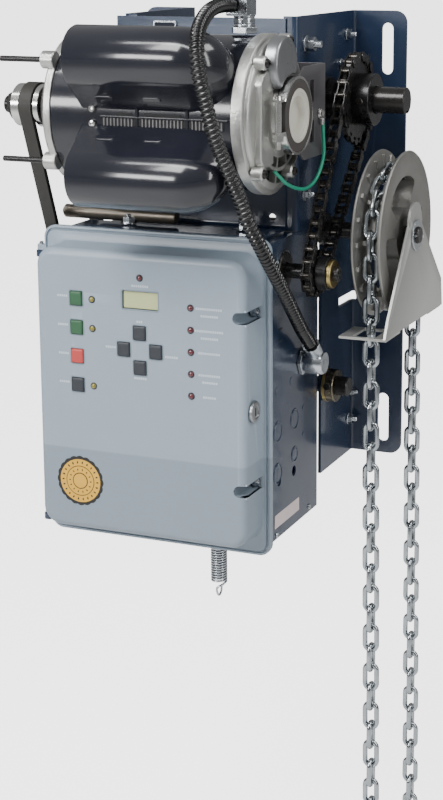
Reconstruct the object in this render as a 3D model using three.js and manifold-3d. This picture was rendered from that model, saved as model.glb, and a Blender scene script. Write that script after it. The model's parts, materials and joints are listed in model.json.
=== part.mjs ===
// Wall-mounted commercial door operator with a hand chain hoist, in millimetres, +Z up.
// The wall is the plane Y = 0 and the front faces -Y. Z = 0 is the output shaft's height, and
// X = 0 is the slot line of the right wall flange. Positions below are given from the outer
// face of the right side plate, which lies SLOT_LINE to the left of that origin.
import * as THREE from 'three';
import { mergeVertices } from 'three/addons/utils/BufferGeometryUtils.js';
import Module from 'manifold-3d';

const wasm = await Module();
wasm.setup();

// ---- driving dimensions ----
const SLOT_LINE = 34.8;
const GAP = 0.3;
const FRAME = {
  top: 81, bottom: -375, width: 178, depth: 159,
  lowDepth: 94, flange: 54.5, lip: 14, sheet: 3,
};
const SHELF_Z = -115.7;
const BOX = {
  left: -217, top: -119, bottom: -405, front: -222,
  back: -104.5, shallow: -165, split: -100, sheet: 2,
};
const COVER = { left: -232, right: 1, top: -115, bottom: -417, back: -222.3, rim: 6, face: -266, wall: 3 };
const DOME = { left: -222, right: -7, top: -128, bottom: -401, round: 10 };
const OUTPUT = { y: -80, z: 0, r: 12.7 };
const FIRST = { y: -84, z: -285, r: 9.5 };
const SECOND = { y: -95, z: -125.6, r: 8 };
const LIMIT = { y: -193, z: -149, r: 7 };
const MOTOR = { y: -236, z: -1, r: 69, left: -177.7, right: -3.8 };
const PITCH = 12.7;
const CHAIN_HALF = 5;
const CHAIN_X = 30;
const TEETH = { small: 9, output: 20, large: 24 };
const BELT_X = -232;
const STAGE_X = { first: -150, second: -124 };
const WHEEL = { left: 57.5, right: 87.5, r: 80, groove: 56, chainR: 64, x: 73 };
const GUIDE_X = 95;
const CHAIN_LOW = -797;
const CHAIN_LEAN = 0.011;

// ---- materials ----
function finish(color, roughness, metalness) {
  return new THREE.MeshStandardMaterial({ color, roughness, metalness });
}
const bluePaint = finish(0x23324f, 0.3, 0.2);
const greyPlastic = finish(0x8796a2, 0.5, 0);
const darkPaint = finish(0x2a2c33, 0.25, 0.2);
const castAluminium = finish(0xb8b8b4, 0.45, 0.9);
const zinc = finish(0xc8ccd0, 0.3, 1);
const yellowZinc = finish(0xa89050, 0.35, 1);
const blackSteel = finish(0x1a1a1b, 0.4, 0.8);
const sheetSteel = finish(0xb5b5b2, 0.4, 0.8);
const rubber = finish(0x2b2926, 0.8, 0);
const creamPlastic = finish(0xd8d3c0, 0.5, 0);
const greenPlastic = finish(0x2f9c78, 0.5, 0);
const boardGreen = finish(0x1f5a38, 0.6, 0);
const greenButton = finish(0x2f6b45, 0.55, 0);
const redButton = finish(0xc44a48, 0.55, 0);
const darkButton = finish(0x3b3d42, 0.55, 0);

// ---- solids ----
function signedVolume(positions, indices) {
  let sum = 0;
  const [a, b, c] = [new THREE.Vector3(), new THREE.Vector3(), new THREE.Vector3()];
  for (let i = 0; i < indices.length; i += 3) {
    a.fromArray(positions, 3 * indices[i]);
    b.fromArray(positions, 3 * indices[i + 1]);
    c.fromArray(positions, 3 * indices[i + 2]);
    sum += a.dot(b.cross(c));
  }
  return sum;
}

function solid(geometry) {
  const bare = geometry.clone();
  bare.deleteAttribute('normal');
  bare.deleteAttribute('uv');
  const merged = mergeVertices(bare, 1e-4);
  const vertProperties = new Float32Array(merged.attributes.position.array);
  const triVerts = new Uint32Array(merged.index.array);
  if (signedVolume(vertProperties, triVerts) < 0) {
    for (let i = 0; i < triVerts.length; i += 3) {
      [triVerts[i], triVerts[i + 1]] = [triVerts[i + 1], triVerts[i]];
    }
  }
  return new wasm.Manifold(new wasm.Mesh({ numProp: 3, vertProperties, triVerts }));
}

function join(first, ...others) {
  return others.reduce((sum, other) => sum.add(other), first);
}

function cut(first, ...others) {
  return others.reduce((rest, other) => rest.subtract(other), first);
}

function toGeometry(body) {
  const { vertProperties, triVerts } = body.getMesh();
  const geometry = new THREE.BufferGeometry();
  geometry.setAttribute('position', new THREE.BufferAttribute(new Float32Array(vertProperties), 3));
  geometry.setIndex(new THREE.BufferAttribute(new Uint32Array(triVerts), 1));
  geometry.computeVertexNormals();
  return geometry;
}

function block(x0, x1, y0, y1, z0, z1) {
  const geometry = new THREE.BoxGeometry(x1 - x0, y1 - y0, z1 - z0);
  geometry.translate((x0 + x1) / 2, (y0 + y1) / 2, (z0 + z1) / 2);
  return solid(geometry);
}

// A round bar along X, Y or Z: from and to are its ends on that axis, a and b the other two places.
function bar(axis, radius, from, to, a = 0, b = 0, sides = 24) {
  const geometry = new THREE.CylinderGeometry(radius, radius, to - from, sides);
  const middle = (from + to) / 2;
  if (axis === 'x') geometry.rotateZ(-Math.PI / 2).translate(middle, a, b);
  if (axis === 'y') geometry.translate(a, middle, b);
  if (axis === 'z') geometry.rotateX(Math.PI / 2).translate(a, b, middle);
  return solid(geometry);
}

// A turned piece about the X axis, from [radius, x] points.
function turned(profile, sides = 32) {
  const points = profile.map(([radius, x]) => new THREE.Vector2(radius, x));
  return solid(new THREE.LatheGeometry(points, sides).rotateZ(-Math.PI / 2));
}

function ring(outer, inner, from, to, sides = 32) {
  return turned([[inner, from], [outer, from], [outer, to], [inner, to], [inner, from]], sides);
}

function shapeOf(points) {
  return new THREE.Shape(points.map(([u, v]) => new THREE.Vector2(u, v)));
}

function plate(shape, depth, curveSegments = 4) {
  return new THREE.ExtrudeGeometry(shape, { depth, bevelEnabled: false, curveSegments });
}

const SIDEWAYS = new THREE.Matrix4().set(0, 0, 1, 0, 1, 0, 0, 0, 0, 1, 0, 0, 0, 0, 0, 1);

// Outlines in (Y, Z), thick along X.
function sideways(shape, x0, x1) {
  return solid(plate(shape, x1 - x0).applyMatrix4(SIDEWAYS).translate(x0, 0, 0));
}

// Outlines in (X, Z), thick along Y.
function frontal(shape, y0, y1) {
  return solid(plate(shape, y1 - y0).rotateX(Math.PI / 2).translate(0, y1, 0));
}

function roundedRectangle(left, right, bottom, top, radius) {
  const shape = new THREE.Shape();
  shape.moveTo(left + radius, bottom);
  shape.absarc(right - radius, bottom + radius, radius, -Math.PI / 2, 0);
  shape.absarc(right - radius, top - radius, radius, 0, Math.PI / 2);
  shape.absarc(left + radius, top - radius, radius, Math.PI / 2, Math.PI);
  shape.absarc(left + radius, bottom + radius, radius, Math.PI, Math.PI * 1.5);
  return shape;
}

function upright(x, bottom, top, width) {
  return roundedRectangle(x - width / 2, x + width / 2, bottom, top, width / 2 - 0.01);
}

function mesh(name, body, material) {
  const piece = new THREE.Mesh(toGeometry(body), material);
  piece.name = name;
  return piece;
}

function groupAt(y, z, ...meshes) {
  const group = new THREE.Group();
  group.position.set(0, y, z);
  group.add(...meshes);
  return group;
}

// ---- chains, belts and sprockets, drawn in (Y, Z) about their own shafts ----
function sprocketRadius(teeth) {
  return PITCH / (2 * Math.sin(Math.PI / teeth));
}

// A sprocket's disc up to the roots of its teeth, where the chain lies.
function sprocketDisc(teeth, x) {
  return bar('x', sprocketRadius(teeth) - CHAIN_HALF - 2 * GAP, x - 3.5, x + 3.5);
}

// The outline of a loop round two pulleys, offset out from their pitch radii.
function loopShape(a, b, offset) {
  const ra = a.r + offset;
  const rb = b.r + offset;
  const along = Math.atan2(b.z - a.z, b.y - a.y);
  const turn = Math.acos((ra - rb) / Math.hypot(b.y - a.y, b.z - a.z));
  const shape = new THREE.Shape();
  shape.absarc(a.y, a.z, ra, along + turn, along - turn + 2 * Math.PI);
  shape.absarc(b.y, b.z, rb, along - turn, along + turn);
  return shape;
}

function loop(a, b, half, x0, x1) {
  const shape = loopShape(a, b, half);
  shape.holes.push(loopShape(a, b, -half));
  return solid(plate(shape, x1 - x0, 8).applyMatrix4(SIDEWAYS).translate(x0, 0, 0));
}

function chainLoop(a, b, x) {
  return loop(a, b, CHAIN_HALF, x - 5.5, x + 5.5);
}

// ---- frame ----
// A folded strip: its middle line in plan, with round bends, thickened by the sheet.
function foldedPlan(path, sheet, radius) {
  const line = [];
  path.forEach((point, i) => {
    const here = new THREE.Vector2(...point);
    if (i === 0 || i === path.length - 1) {
      line.push(here);
      return;
    }
    const before = new THREE.Vector2(...path[i - 1]).sub(here).normalize().multiplyScalar(radius).add(here);
    const after = new THREE.Vector2(...path[i + 1]).sub(here).normalize().multiplyScalar(radius).add(here);
    line.push(...new THREE.QuadraticBezierCurve(before, here, after).getPoints(4));
  });
  const side = (offset) => line.map((point, i) => {
    const from = line[Math.max(i - 1, 0)];
    const to = line[Math.min(i + 1, line.length - 1)];
    const across = new THREE.Vector2(from.y - to.y, to.x - from.x).normalize();
    return point.clone().addScaledVector(across, offset);
  });
  return new THREE.Shape([...side(sheet / 2), ...side(-sheet / 2).reverse()]);
}

// The wall flange reaches out from the side plate, and the front lip turns in towards the middle.
function sideBracket() {
  const half = FRAME.sheet / 2;
  const path = [
    [-FRAME.lip, half - FRAME.depth], [-half, half - FRAME.depth], [-half, -half], [FRAME.flange, -half],
  ];
  const plan = plate(foldedPlan(path, FRAME.sheet, 4), FRAME.top - FRAME.bottom);
  const strip = solid(plan.translate(0, 0, FRAME.bottom));
  const corner = 12;
  const outline = roundedRectangle(-40, FRAME.flange, FRAME.bottom, FRAME.top, corner);
  const rounded = join(frontal(outline, -5, 1), block(-40, 1, -200, 1, FRAME.bottom, FRAME.top));
  const lowFront = sideways(shapeOf([
    [-200, -400], [-FRAME.lowDepth, -400], [-FRAME.lowDepth, BOX.top - 8],
    [-FRAME.lowDepth - 8, BOX.top + GAP], [-200, BOX.top + GAP],
  ]), -40, 10);
  return cut(
    strip.intersect(rounded),
    lowFront,
    frontal(upright(SLOT_LINE, 18, 69, 12), -10, 5),
    frontal(upright(SLOT_LINE, -363, -311, 12), -10, 5),
    bar('x', OUTPUT.r + 4, -10, 10, OUTPUT.y, OUTPUT.z),
    bar('x', FIRST.r - 1 + GAP, -10, 10, FIRST.y, FIRST.z),
    bar('x', SECOND.r + 0.5, -10, 10, SECOND.y, SECOND.z),
  );
}

function rightBracket() {
  return cut(sideBracket(), block(-8, 4, -44, 2, -214, -205));
}

// The left side plate's copy of a right hand piece.
function mirrored(body) {
  return solid(toGeometry(body).scale(-1, 1, 1).translate(-FRAME.width, 0, 0));
}

function motorPlate() {
  const front = -FRAME.depth - GAP;
  const path = [[front - 1, FRAME.top - 2], [front - 1, SHELF_Z - 1], [BOX.front + 7, SHELF_Z - 1]];
  const bent = sideways(foldedPlan(path, 2, 4), -184, -11);
  return cut(
    bent,
    block(-144, -122, -170, -150, 66, 74),
    bar('y', 3.5, -170, -150, -24.5, -106),
  );
}

function bearing() {
  return turned([
    [OUTPUT.r + GAP, -8], [OUTPUT.r + 3.6, -8], [OUTPUT.r + 3.6, GAP], [21, GAP],
    [21, 12], [OUTPUT.r + GAP, 12], [OUTPUT.r + GAP, -8],
  ], 24);
}

// ---- control box ----
const LATCH = { y: -250, z: -270.7, tip: 34 };
const HINGE = { x: -238, y: -223, tops: [-141, -405] };
const CONDUIT_ENTRY = { y: -147, z: -246 };

function boxSpace(inset) {
  const wide = block(
    BOX.left + inset, -inset, BOX.front + inset, BOX.shallow - inset, BOX.bottom + inset, BOX.top - inset,
  );
  const deep = block(
    BOX.split + inset, -inset, BOX.front + inset, BOX.back - inset, BOX.bottom + inset, BOX.top - inset,
  );
  return join(wide, deep);
}

function controlBox() {
  const lip = 15;
  const mouth = block(BOX.left + lip, -lip, -230, -210, BOX.bottom + lip, BOX.top - lip);
  const keeperGap = block(-20, -BOX.sheet, -230, -215, LATCH.z - 32, LATCH.z - 7);
  const hinges = HINGE.tops.flatMap((top) => [
    bar('z', 5, top - 6, top, HINGE.x, HINGE.y),
    block(HINGE.x - 4, BOX.left + 1, BOX.front, -218, top - 6, top),
    bar('z', 2, top - 1, top + 7, HINGE.x, HINGE.y, 12),
  ]);
  return cut(
    join(boxSpace(0), ...hinges),
    boxSpace(BOX.sheet),
    mouth,
    keeperGap,
    bar('x', 10.5, -5, 5, CONDUIT_ENTRY.y, CONDUIT_ENTRY.z),
    bar('x', LIMIT.r + 0.5, -5, 5, LIMIT.y, LIMIT.z),
    bar('x', 5, -5, 5, -205, -349.5, 16),
    bar('x', 5, -5, 5, -167, -350.5, 16),
    bar('z', 4, -410, -400, -83, -160, 12),
  );
}

function circuitBoard() {
  const board = block(-90, -12, -109, -107.2, -385, -205);
  const parts = [
    [-84, -66, -126, -240, -215], [-60, -40, -122, -240, -222], [-34, -18, -130, -250, -215],
    [-80, -50, -118, -290, -262], [-40, -22, -120, -300, -270], [-84, -20, -121, -382, -368],
  ];
  return join(board, ...parts.map(([x0, x1, y, z0, z1]) => block(x0, x1, y, -108.5, z0, z1)));
}

function transformer() {
  return join(
    block(-160, -108, -204, -172, -392, -350),
    block(-154, -114, -210, -168, -384, -358),
    block(-172, -96, -170, -167.6, -392, -350),
  );
}

// ---- cover and keypad ----
const BUTTON = { wide: 13, high: 13.5, front: 1.8, foot: -258.2 };
const COLUMN_X = -178.2;
const CROSS = { x: -113.2, z: -219.4, step: 16.4 };
const BUTTONS = [
  ['open_button', COLUMN_X, -175.2, greenButton],
  ['close_button', COLUMN_X, -202.7, greenButton],
  ['stop_button', COLUMN_X, -230.2, redButton],
  ['learn_button', COLUMN_X, -257.7, darkButton],
  ['up_button', CROSS.x, CROSS.z + CROSS.step, darkButton],
  ['back_button', CROSS.x - CROSS.step, CROSS.z, darkButton],
  ['enter_button', CROSS.x + CROSS.step, CROSS.z, darkButton],
  ['down_button', CROSS.x, CROSS.z - CROSS.step, darkButton],
];
const DISPLAY = { left: -130.4, right: -94.1, bottom: -181.1, top: -164 };
const SCREWS = [-181.5, -343.6];

function dome(inset) {
  const { left, right, top, bottom, round } = DOME;
  const edge = inset + round;
  const shape = roundedRectangle(left + edge, right - edge, bottom + edge, top - edge, 8);
  const geometry = new THREE.ExtrudeGeometry(shape, {
    depth: 60, bevelThickness: round, bevelSize: round, bevelSegments: 2, curveSegments: 3,
  });
  return solid(geometry.rotateX(Math.PI / 2).translate(0, COVER.face + inset + round + 60, 0));
}

function cover() {
  const { left, right, top, bottom, back, rim, wall, face } = COVER;
  const front = back - rim;
  const rimPlate = frontal(roundedRectangle(left, right, bottom, top, 12), front, back);
  const shellFront = block(-300, 100, -300, front + 1, -500, 0);
  const hollowFront = block(-300, 100, -300, 0, -500, 0);
  const wells = SCREWS.map((z) => bar('y', 9, face + 4, front + 1, -14, z, 12));
  const wellBores = SCREWS.map((z) => bar('y', 6.5, face - 5, front - 1, -14, z, 12));
  const lugs = HINGE.tops.flatMap((base) => [
    block(-242, left + 1, -227, back, base + GAP, base + 6),
    bar('z', 4, base + GAP, base + 6, HINGE.x, HINGE.y, 12),
  ]);
  const pinHoles = HINGE.tops.map((base) => bar('z', 2.4, base - 5, base + 12, HINGE.x, HINGE.y, 12));
  const windows = [
    ...BUTTONS.map(([, x, z]) => block(
      x - BUTTON.wide / 2 - GAP, x + BUTTON.wide / 2 + GAP, face - 5, face + 5,
      z - BUTTON.high / 2 - GAP, z + BUTTON.high / 2 + GAP,
    )),
    block(DISPLAY.left, DISPLAY.right, face - 5, face + 5, DISPLAY.bottom, DISPLAY.top),
    bar('x', 8, -20, 0, LATCH.y, LATCH.z, 20),
  ];
  const bowl = cut(
    join(rimPlate, dome(0).intersect(shellFront)),
    dome(wall).intersect(hollowFront),
    ...pinHoles,
    ...windows,
  );
  return cut(join(bowl, ...wells, ...lugs), ...wellBores, ...pinHoles);
}

function keypadBoard() {
  const front = COVER.face + COVER.wall + GAP;
  const board = block(-206, -28, -256.6, -255, -272, -140);
  const posts = [[-200, -266], [-200, -146], [-34, -266], [-34, -146]];
  return join(
    board,
    ...posts.map(([x, z]) => bar('y', 3, front, -256, x, z, 12)),
    block(DISPLAY.left + 1, DISPLAY.right - 1, -263.6, -256, DISPLAY.bottom + 1, DISPLAY.top - 1),
  );
}

function button(x, z) {
  const { wide, high, front, foot } = BUTTON;
  return block(x - wide / 2, x + wide / 2, COVER.face - front, foot, z - high / 2, z + high / 2);
}

function coverLock() {
  return join(
    bar('x', 10, DOME.right + GAP, DOME.right + 3, 0, 0),
    bar('x', 7.6, -24, DOME.right + 1, 0, 0, 20),
    block(-17.4, -15.4, -5, 5, -LATCH.tip, 5),
    block(-17.4, -11, -5, 5, -LATCH.tip, 3 - LATCH.tip),
  );
}

// ---- motor, about its own axis ----
const CAN = { y: -77, z: 51.5, r: 28, left: -147, shoulder: -45, right: -4, sheet: 2 };
const STUDS = [[-55, 46.6], [-55, -43.5]];

function motorShell() {
  return ring(MOTOR.r, MOTOR.r - 2.5, MOTOR.left, MOTOR.right, 40);
}

function leftBell() {
  const shell = turned([
    [9.5, -199], [29, -199], [30, -190], [62, -188.5], [70, -185], [70, -178], [66, -178],
    [60, -182], [9.5, -184], [9.5, -199],
  ], 30);
  const ears = STUDS.map(([y, z]) => bar('x', 8, -191, -178, y, z, 12));
  return join(shell, ...ears);
}

function rightBell() {
  const shell = turned([
    [9.5, 22.5], [32, 22.5], [33, 14], [58, 13], [68, 9], [71, 4], [71, -3.5], [66.5, -3.5],
    [58, 7], [9.5, 9], [9.5, 22.5],
  ], 30);
  const vents = [-100, -80, -60].map((degrees) => {
    const angle = THREE.MathUtils.degToRad(degrees);
    return bar('x', 6.5, 2, 20, 50 * Math.cos(angle), 50 * Math.sin(angle), 12);
  });
  return cut(shell, ...vents);
}

function bellCap() {
  const drum = turned([[0, 14 + GAP], [25, 14 + GAP], [25, 24], [23, 26], [0, 26]], 28);
  return cut(drum.translate(0, -12, 45), bar('x', 37, 0, 40, 0, 0, 32));
}

// A long half-round cover with flat flanks down to the shell, closed at the left and tapered at
// the right. side is 1 for the upper one and -1 for the lower one.
function canOutline(side, shrink) {
  const radius = CAN.r - shrink;
  const shape = new THREE.Shape();
  const points = [];
  for (let i = 0; i <= 14; i += 1) {
    const angle = Math.PI * (0.42 + 0.9 * (i / 14));
    points.push([CAN.y + radius * Math.cos(angle), side * (CAN.z + radius * Math.sin(angle))]);
  }
  points.push([-67 + shrink, side * (5 + shrink)]);
  points.push([-40, side * (30 + shrink)], [-40, side * (66 - shrink)]);
  shape.setFromPoints(points.map(([y, z]) => new THREE.Vector2(y, z)));
  return shape;
}

function canCover(side) {
  const shellSpace = bar('x', MOTOR.r + 0.5, -400, 100, 0, 0, 48);
  const body = sideways(canOutline(side, 0), CAN.left, CAN.shoulder);
  const inside = sideways(canOutline(side, CAN.sheet), CAN.left + CAN.sheet, CAN.shoulder + CAN.sheet);
  const ball = new THREE.SphereGeometry(CAN.r, 14, 10).rotateZ(Math.PI / 2);
  ball.scale((CAN.right - CAN.shoulder) / CAN.r, 1, 1);
  const end = solid(ball.translate(CAN.shoulder, CAN.y, side * CAN.z));
  return cut(join(body, end), shellSpace, inside);
}

function rotor() {
  return turned([
    [0, -262], [8, -262], [8, -160], [36, -150], [36, -50], [8, -40], [8, 19], [0, 19],
  ], 20);
}

function motorPulley() {
  const profile = [
    [8.3, -248], [20, -248], [20, -239], [14, -239], [14, -225], [20, -225], [20, -219], [8.3, -219],
    [8.3, -248],
  ];
  return turned(profile, 24);
}

function cradle() {
  const back = -FRAME.depth - GAP - 2 - GAP - MOTOR.y;
  const base = block(-206, 28.4, back - 2, back, -42, 41);
  const cheek = (x) => cut(
    sideways(shapeOf([
      [back, -42], [back, 41], [22, 41], [8, 33], [2, 20], [2, -20], [8, -33], [22, -42],
    ]), x, x + 2.4),
    bar('x', 35, -300, 100, 0, 0, 40),
    block(x - 1, x + 4, 36, 46, 8, 28),
    block(x - 1, x + 4, 36, 46, -28, -8),
  );
  return join(base, cheek(-206), cheek(26));
}

function clampBand() {
  const band = ring(34.6, 32 + GAP, 23.5, 31.5, 28);
  const jaws = [16, -12].map((z) => block(23.5, 31.5, -42, -32.5, z - 1, z + 1));
  const opening = block(20, 40, -50, -20, -11, 15);
  const bolt = bar('z', 2.8, -26, 20, 27.5, -38, 10);
  const head = bar('z', 4.6, -19, -13, 27.5, -38, 6);
  return join(cut(band, opening), ...jaws, bolt, head);
}

// ---- limit switch shaft, hand chain wheel and guide ----
function limitShaft() {
  return turned([[0, -96], [LIMIT.r, -96], [LIMIT.r, 54], [6, 55], [0, 55]], 20);
}

function limitNut(x) {
  return cut(bar('x', 14, x - 4, x + 4, 0, 0, 28), bar('x', LIMIT.r + GAP, x - 9, x + 9, 0, 0, 20));
}

function handWheel() {
  const { left, right, r, groove, x } = WHEEL;
  const profile = [
    [SECOND.r + GAP, left - 5], [15, left - 5], [16, left + 4], [50, left + 6],
    [r - 4, left], [r, left + 3],
    [groove, x - 6], [groove, x + 6], [r, right - 3], [r - 4, right], [50, right - 2], [16, right - 1],
    [SECOND.r + GAP, right - 1], [SECOND.r + GAP, left - 5],
  ];
  const windows = [90, 210, 330].map((degrees) => {
    const angle = THREE.MathUtils.degToRad(degrees);
    return bar('x', 13, 30, 120, 34 * Math.cos(angle), 34 * Math.sin(angle), 14);
  });
  return cut(turned(profile, 32), ...windows);
}

function chainGuide() {
  const flat = new THREE.Shape();
  flat.moveTo(-88, -84);
  flat.lineTo(92, -86);
  flat.lineTo(88, -58);
  flat.lineTo(20, 8);
  flat.absarc(0, 12, 20, 0, Math.PI);
  flat.lineTo(-78, -66);
  const side = sideways(flat, GUIDE_X - 1.2, GUIDE_X + 1.2);
  const tab = (y0, y1) => cut(
    block(50, GUIDE_X + 1.2, y0, y1, -86.4, -84),
    block(WHEEL.x - 11, WHEEL.x + 11, y0 + 4, y1 - 4, -90, -80),
  );
  return cut(
    join(side, tab(-86, -44), tab(44, 86)),
    bar('x', SECOND.r + 0.5, 80, 110, 0, 0, 24),
  );
}

function handChain() {
  const top = { y: 0, z: 0, r: WHEEL.chainR };
  const low = { y: 0, z: CHAIN_LOW - SECOND.z, r: WHEEL.chainR };
  const lean = new THREE.Matrix4().makeShear(0, 0, 0, 0, -CHAIN_LEAN, 0);
  const straight = loop(top, low, 6, WHEEL.x - 5, WHEEL.x + 5);
  return solid(toGeometry(straight).applyMatrix4(lean));
}

// ---- conduit, ground wire and spring ----
function tubeAlong(points, radius, sides, steps) {
  const curve = new THREE.CatmullRomCurve3(points.map(([x, y, z]) => new THREE.Vector3(x, y, z)));
  const section = [];
  for (let i = 0; i < sides; i += 1) {
    const angle = (2 * Math.PI * i) / sides;
    section.push([radius * Math.cos(angle), radius * Math.sin(angle)]);
  }
  return solid(new THREE.ExtrudeGeometry(shapeOf(section), { steps, extrudePath: curve }));
}

const CONDUIT_PATH = [
  [-25.6, -250, 94.1], [-28, -262, 94.5], [-28.4, -280, 93.4], [-26.4, -301, 89.2], [-23.4, -320, 81.8],
  [-20.2, -333, 74.3], [-17.1, -342, 65.9], [-14.9, -347, 56.5], [-11.5, -349, 37.1], [-8.6, -344, 17.1],
  [-6.1, -338, -3.2], [-3, -329, -24.1], [1.6, -319, -45.3], [5.9, -308, -66.2], [9.5, -300, -87],
  [15, -284, -112], [17.6, -258, -140.5], [17.2, -226, -170.4], [15.9, -190, -203.4], [15.3, -165, -223.3],
];
const GROUND_PATH = [
  [31.6, -177, -13], [32, -176, -26], [32, -175, -42], [31, -182, -56], [30, -194, -65], [28, -209, -69],
  [26, -226, -67], [23, -243, -61], [20, -254, -53], [18, -260, -48],
];

function topConnector() {
  return join(
    bar('z', 12.5, 69.5, 75, -20, -236, 6),
    bar('z', 9.5, 75, 86, -20, -236),
    block(-33, -12, -248.5, -226, 84, 102),
  );
}

function bottomConnector() {
  return join(
    bar('x', 9.5, -6, 3, CONDUIT_ENTRY.y, CONDUIT_ENTRY.z),
    bar('x', 14, GAP, 4, CONDUIT_ENTRY.y, CONDUIT_ENTRY.z, 6),
    bar('x', 12, 3, 24, CONDUIT_ENTRY.y, CONDUIT_ENTRY.z),
    block(3, 25, -163, -140, -246, -226).subtract(
      bar('x', 30, -10, 40, -182, -206, 24),
    ),
  );
}

function spring() {
  const body = ring(8.2, 5.2, -25, 25, 16).rotate([0, 90, 0]);
  const upper = tubeAlong([[0, -6.5, 24], [0, -5, 31], [0, 0, 35], [0, 5, 33], [0, 7, 28]], 1.3, 8, 8);
  const lower = tubeAlong([[0, 6.5, -24], [0, 5, -32], [0, 0, -37], [0, -5, -35], [0, -7, -30]], 1.3, 8, 8);
  return join(body, upper, lower);
}

function springEye() {
  return join(
    bar('z', 3.6, BOX.bottom - 8, BOX.bottom + 4, -83, -160, 12),
    bar('z', 7, BOX.bottom - 3, BOX.bottom - GAP, -83, -160, 6),
    cut(
      bar('y', 7.5, -162, -158, -83, BOX.bottom - 14, 16),
      bar('y', 5, -170, -150, -83, BOX.bottom - 14, 12),
    ),
  );
}

// ---- assembly ----
const smallR = sprocketRadius(TEETH.small);
const outputR = sprocketRadius(TEETH.output);
const largeR = sprocketRadius(TEETH.large);
const machine = new THREE.Group();
machine.position.x = -SLOT_LINE;

machine.add(
  mesh('right_bracket', rightBracket(), bluePaint),
  mesh('left_bracket', mirrored(sideBracket()), bluePaint),
  mesh('motor_plate', motorPlate(), bluePaint),
  mesh('control_box', controlBox(), bluePaint),
  mesh('circuit_board', circuitBoard(), boardGreen),
  mesh('transformer', transformer(), darkPaint),
  mesh('cover', cover(), greyPlastic),
  mesh('keypad_board', keypadBoard(), boardGreen),
  ...BUTTONS.map(([name, x, z, material]) => mesh(name, button(x, z), material)),
  groupAt(LATCH.y, LATCH.z, mesh('cover_lock', coverLock(), zinc)),
);

machine.add(groupAt(
  MOTOR.y, MOTOR.z,
  mesh('motor_shell', motorShell(), darkPaint),
  mesh('end_bell_left', leftBell(), castAluminium),
  mesh('end_bell_right', rightBell(), castAluminium),
  mesh('bell_cap', bellCap(), castAluminium),
  mesh('capacitor_cover_upper', canCover(1), darkPaint),
  mesh('capacitor_cover_lower', canCover(-1), darkPaint),
  mesh('cradle', cradle(), sheetSteel),
  mesh('mount_ring_right', ring(32, 24.3, 23, 32, 28), rubber),
  mesh('mount_ring_left', ring(32, 24.3, -209, -200, 28), rubber),
  mesh('bearing_cap', turned([
    [0, 23], [24, 23], [24, 32.5], [20, 32.5], [16, 25], [0, 25],
  ], 28), creamPlastic),
  mesh('ring_clamp', clampBand(), zinc),
  mesh('rotor', rotor(), blackSteel),
  mesh('motor_pulley', motorPulley(), zinc),
));

machine.add(
  groupAt(
    OUTPUT.y, OUTPUT.z,
    mesh('output_bearing_right', bearing(), blackSteel),
    mesh('output_bearing_left', mirrored(bearing()), blackSteel),
    mesh('output_shaft', cut(
      bar('x', OUTPUT.r, -196, 81, 0, 0, 32),
      block(-196, 90, -3.2, 3.2, -20, -9.5),
    ), blackSteel),
    mesh('output_sprocket', cut(
      join(sprocketDisc(TEETH.output, CHAIN_X), bar('x', 25, CHAIN_X, 50, 0, 0, 32)),
      bar('x', OUTPUT.r + GAP, 0, 80, 0, 0, 32),
    ), blackSteel),
    mesh('output_drive_sprocket', cut(
      join(
        sprocketDisc(TEETH.large, STAGE_X.second),
        bar('x', 22, STAGE_X.second, STAGE_X.second + 22, 0, 0, 24),
      ),
      bar('x', OUTPUT.r + GAP, -200, 80, 0, 0, 32),
    ), blackSteel),
  ),
  groupAt(
    FIRST.y, FIRST.z,
    mesh('first_shaft', turned([
      [0, -242], [8, -242], [8, -180], [8, 3], [FIRST.r, 3], [FIRST.r, 26], [0, 26],
    ], 24), blackSteel),
    mesh('driven_pulley', turned([
      [8.3, -242], [16, -242], [16, -235], [50, -235], [50, -242], [64, -242], [64, -239], [56, -239],
      [56, -225], [64, -225], [64, -222], [50, -222], [50, -229], [16, -229], [16, -214], [8.3, -214],
      [8.3, -242],
    ], 28), castAluminium),
    mesh('first_sprocket', cut(
      join(
        sprocketDisc(TEETH.small, STAGE_X.first),
        bar('x', 12, STAGE_X.first - 16, STAGE_X.first, 0, 0, 20),
      ),
      bar('x', 8.3, -200, -100, 0, 0, 24),
    ), blackSteel),
    mesh('shaft_collar', cut(
      bar('x', 16.5, GAP + 1.5, 14, 0, 0, 28),
      bar('x', FIRST.r + GAP, -5, 20, 0, 0, 24),
    ), yellowZinc),
  ),
  groupAt(
    SECOND.y, SECOND.z,
    mesh('second_shaft', bar('x', SECOND.r, -188, 101, 0, 0, 24), blackSteel),
    mesh('reduction_sprocket', cut(
      join(
        sprocketDisc(TEETH.large, STAGE_X.first),
        sprocketDisc(TEETH.small, STAGE_X.second),
        bar('x', 12, STAGE_X.first, STAGE_X.second, 0, 0, 20),
      ),
      bar('x', SECOND.r + GAP, -200, -100, 0, 0, 24),
    ), blackSteel),
    mesh('hand_wheel', handWheel(), castAluminium),
    mesh('chain_guide', chainGuide(), sheetSteel),
    mesh('axle_bearing', ring(16, SECOND.r + GAP, GAP, 6, 24), blackSteel),
    mesh('axle_washer', ring(15, SECOND.r + GAP, GUIDE_X + 1.2 + GAP, GUIDE_X + 3.4, 20), zinc),
    mesh('hand_chain', handChain(), zinc),
  ),
  groupAt(
    LIMIT.y, LIMIT.z,
    mesh('limit_shaft', limitShaft(), blackSteel),
    mesh('limit_sprocket', cut(
      join(
        sprocketDisc(TEETH.small, CHAIN_X),
        bar('x', 13, CHAIN_X, 36, 0, 0, 24),
        bar('x', 15.5, 36, 50, 0, 0, 24),
      ),
      bar('x', LIMIT.r + GAP, 0, 80, 0, 0, 20),
    ), blackSteel),
    mesh('limit_nut_open', limitNut(-36), creamPlastic),
    mesh('limit_nut_close', limitNut(-72), creamPlastic),
  ),
);

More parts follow.
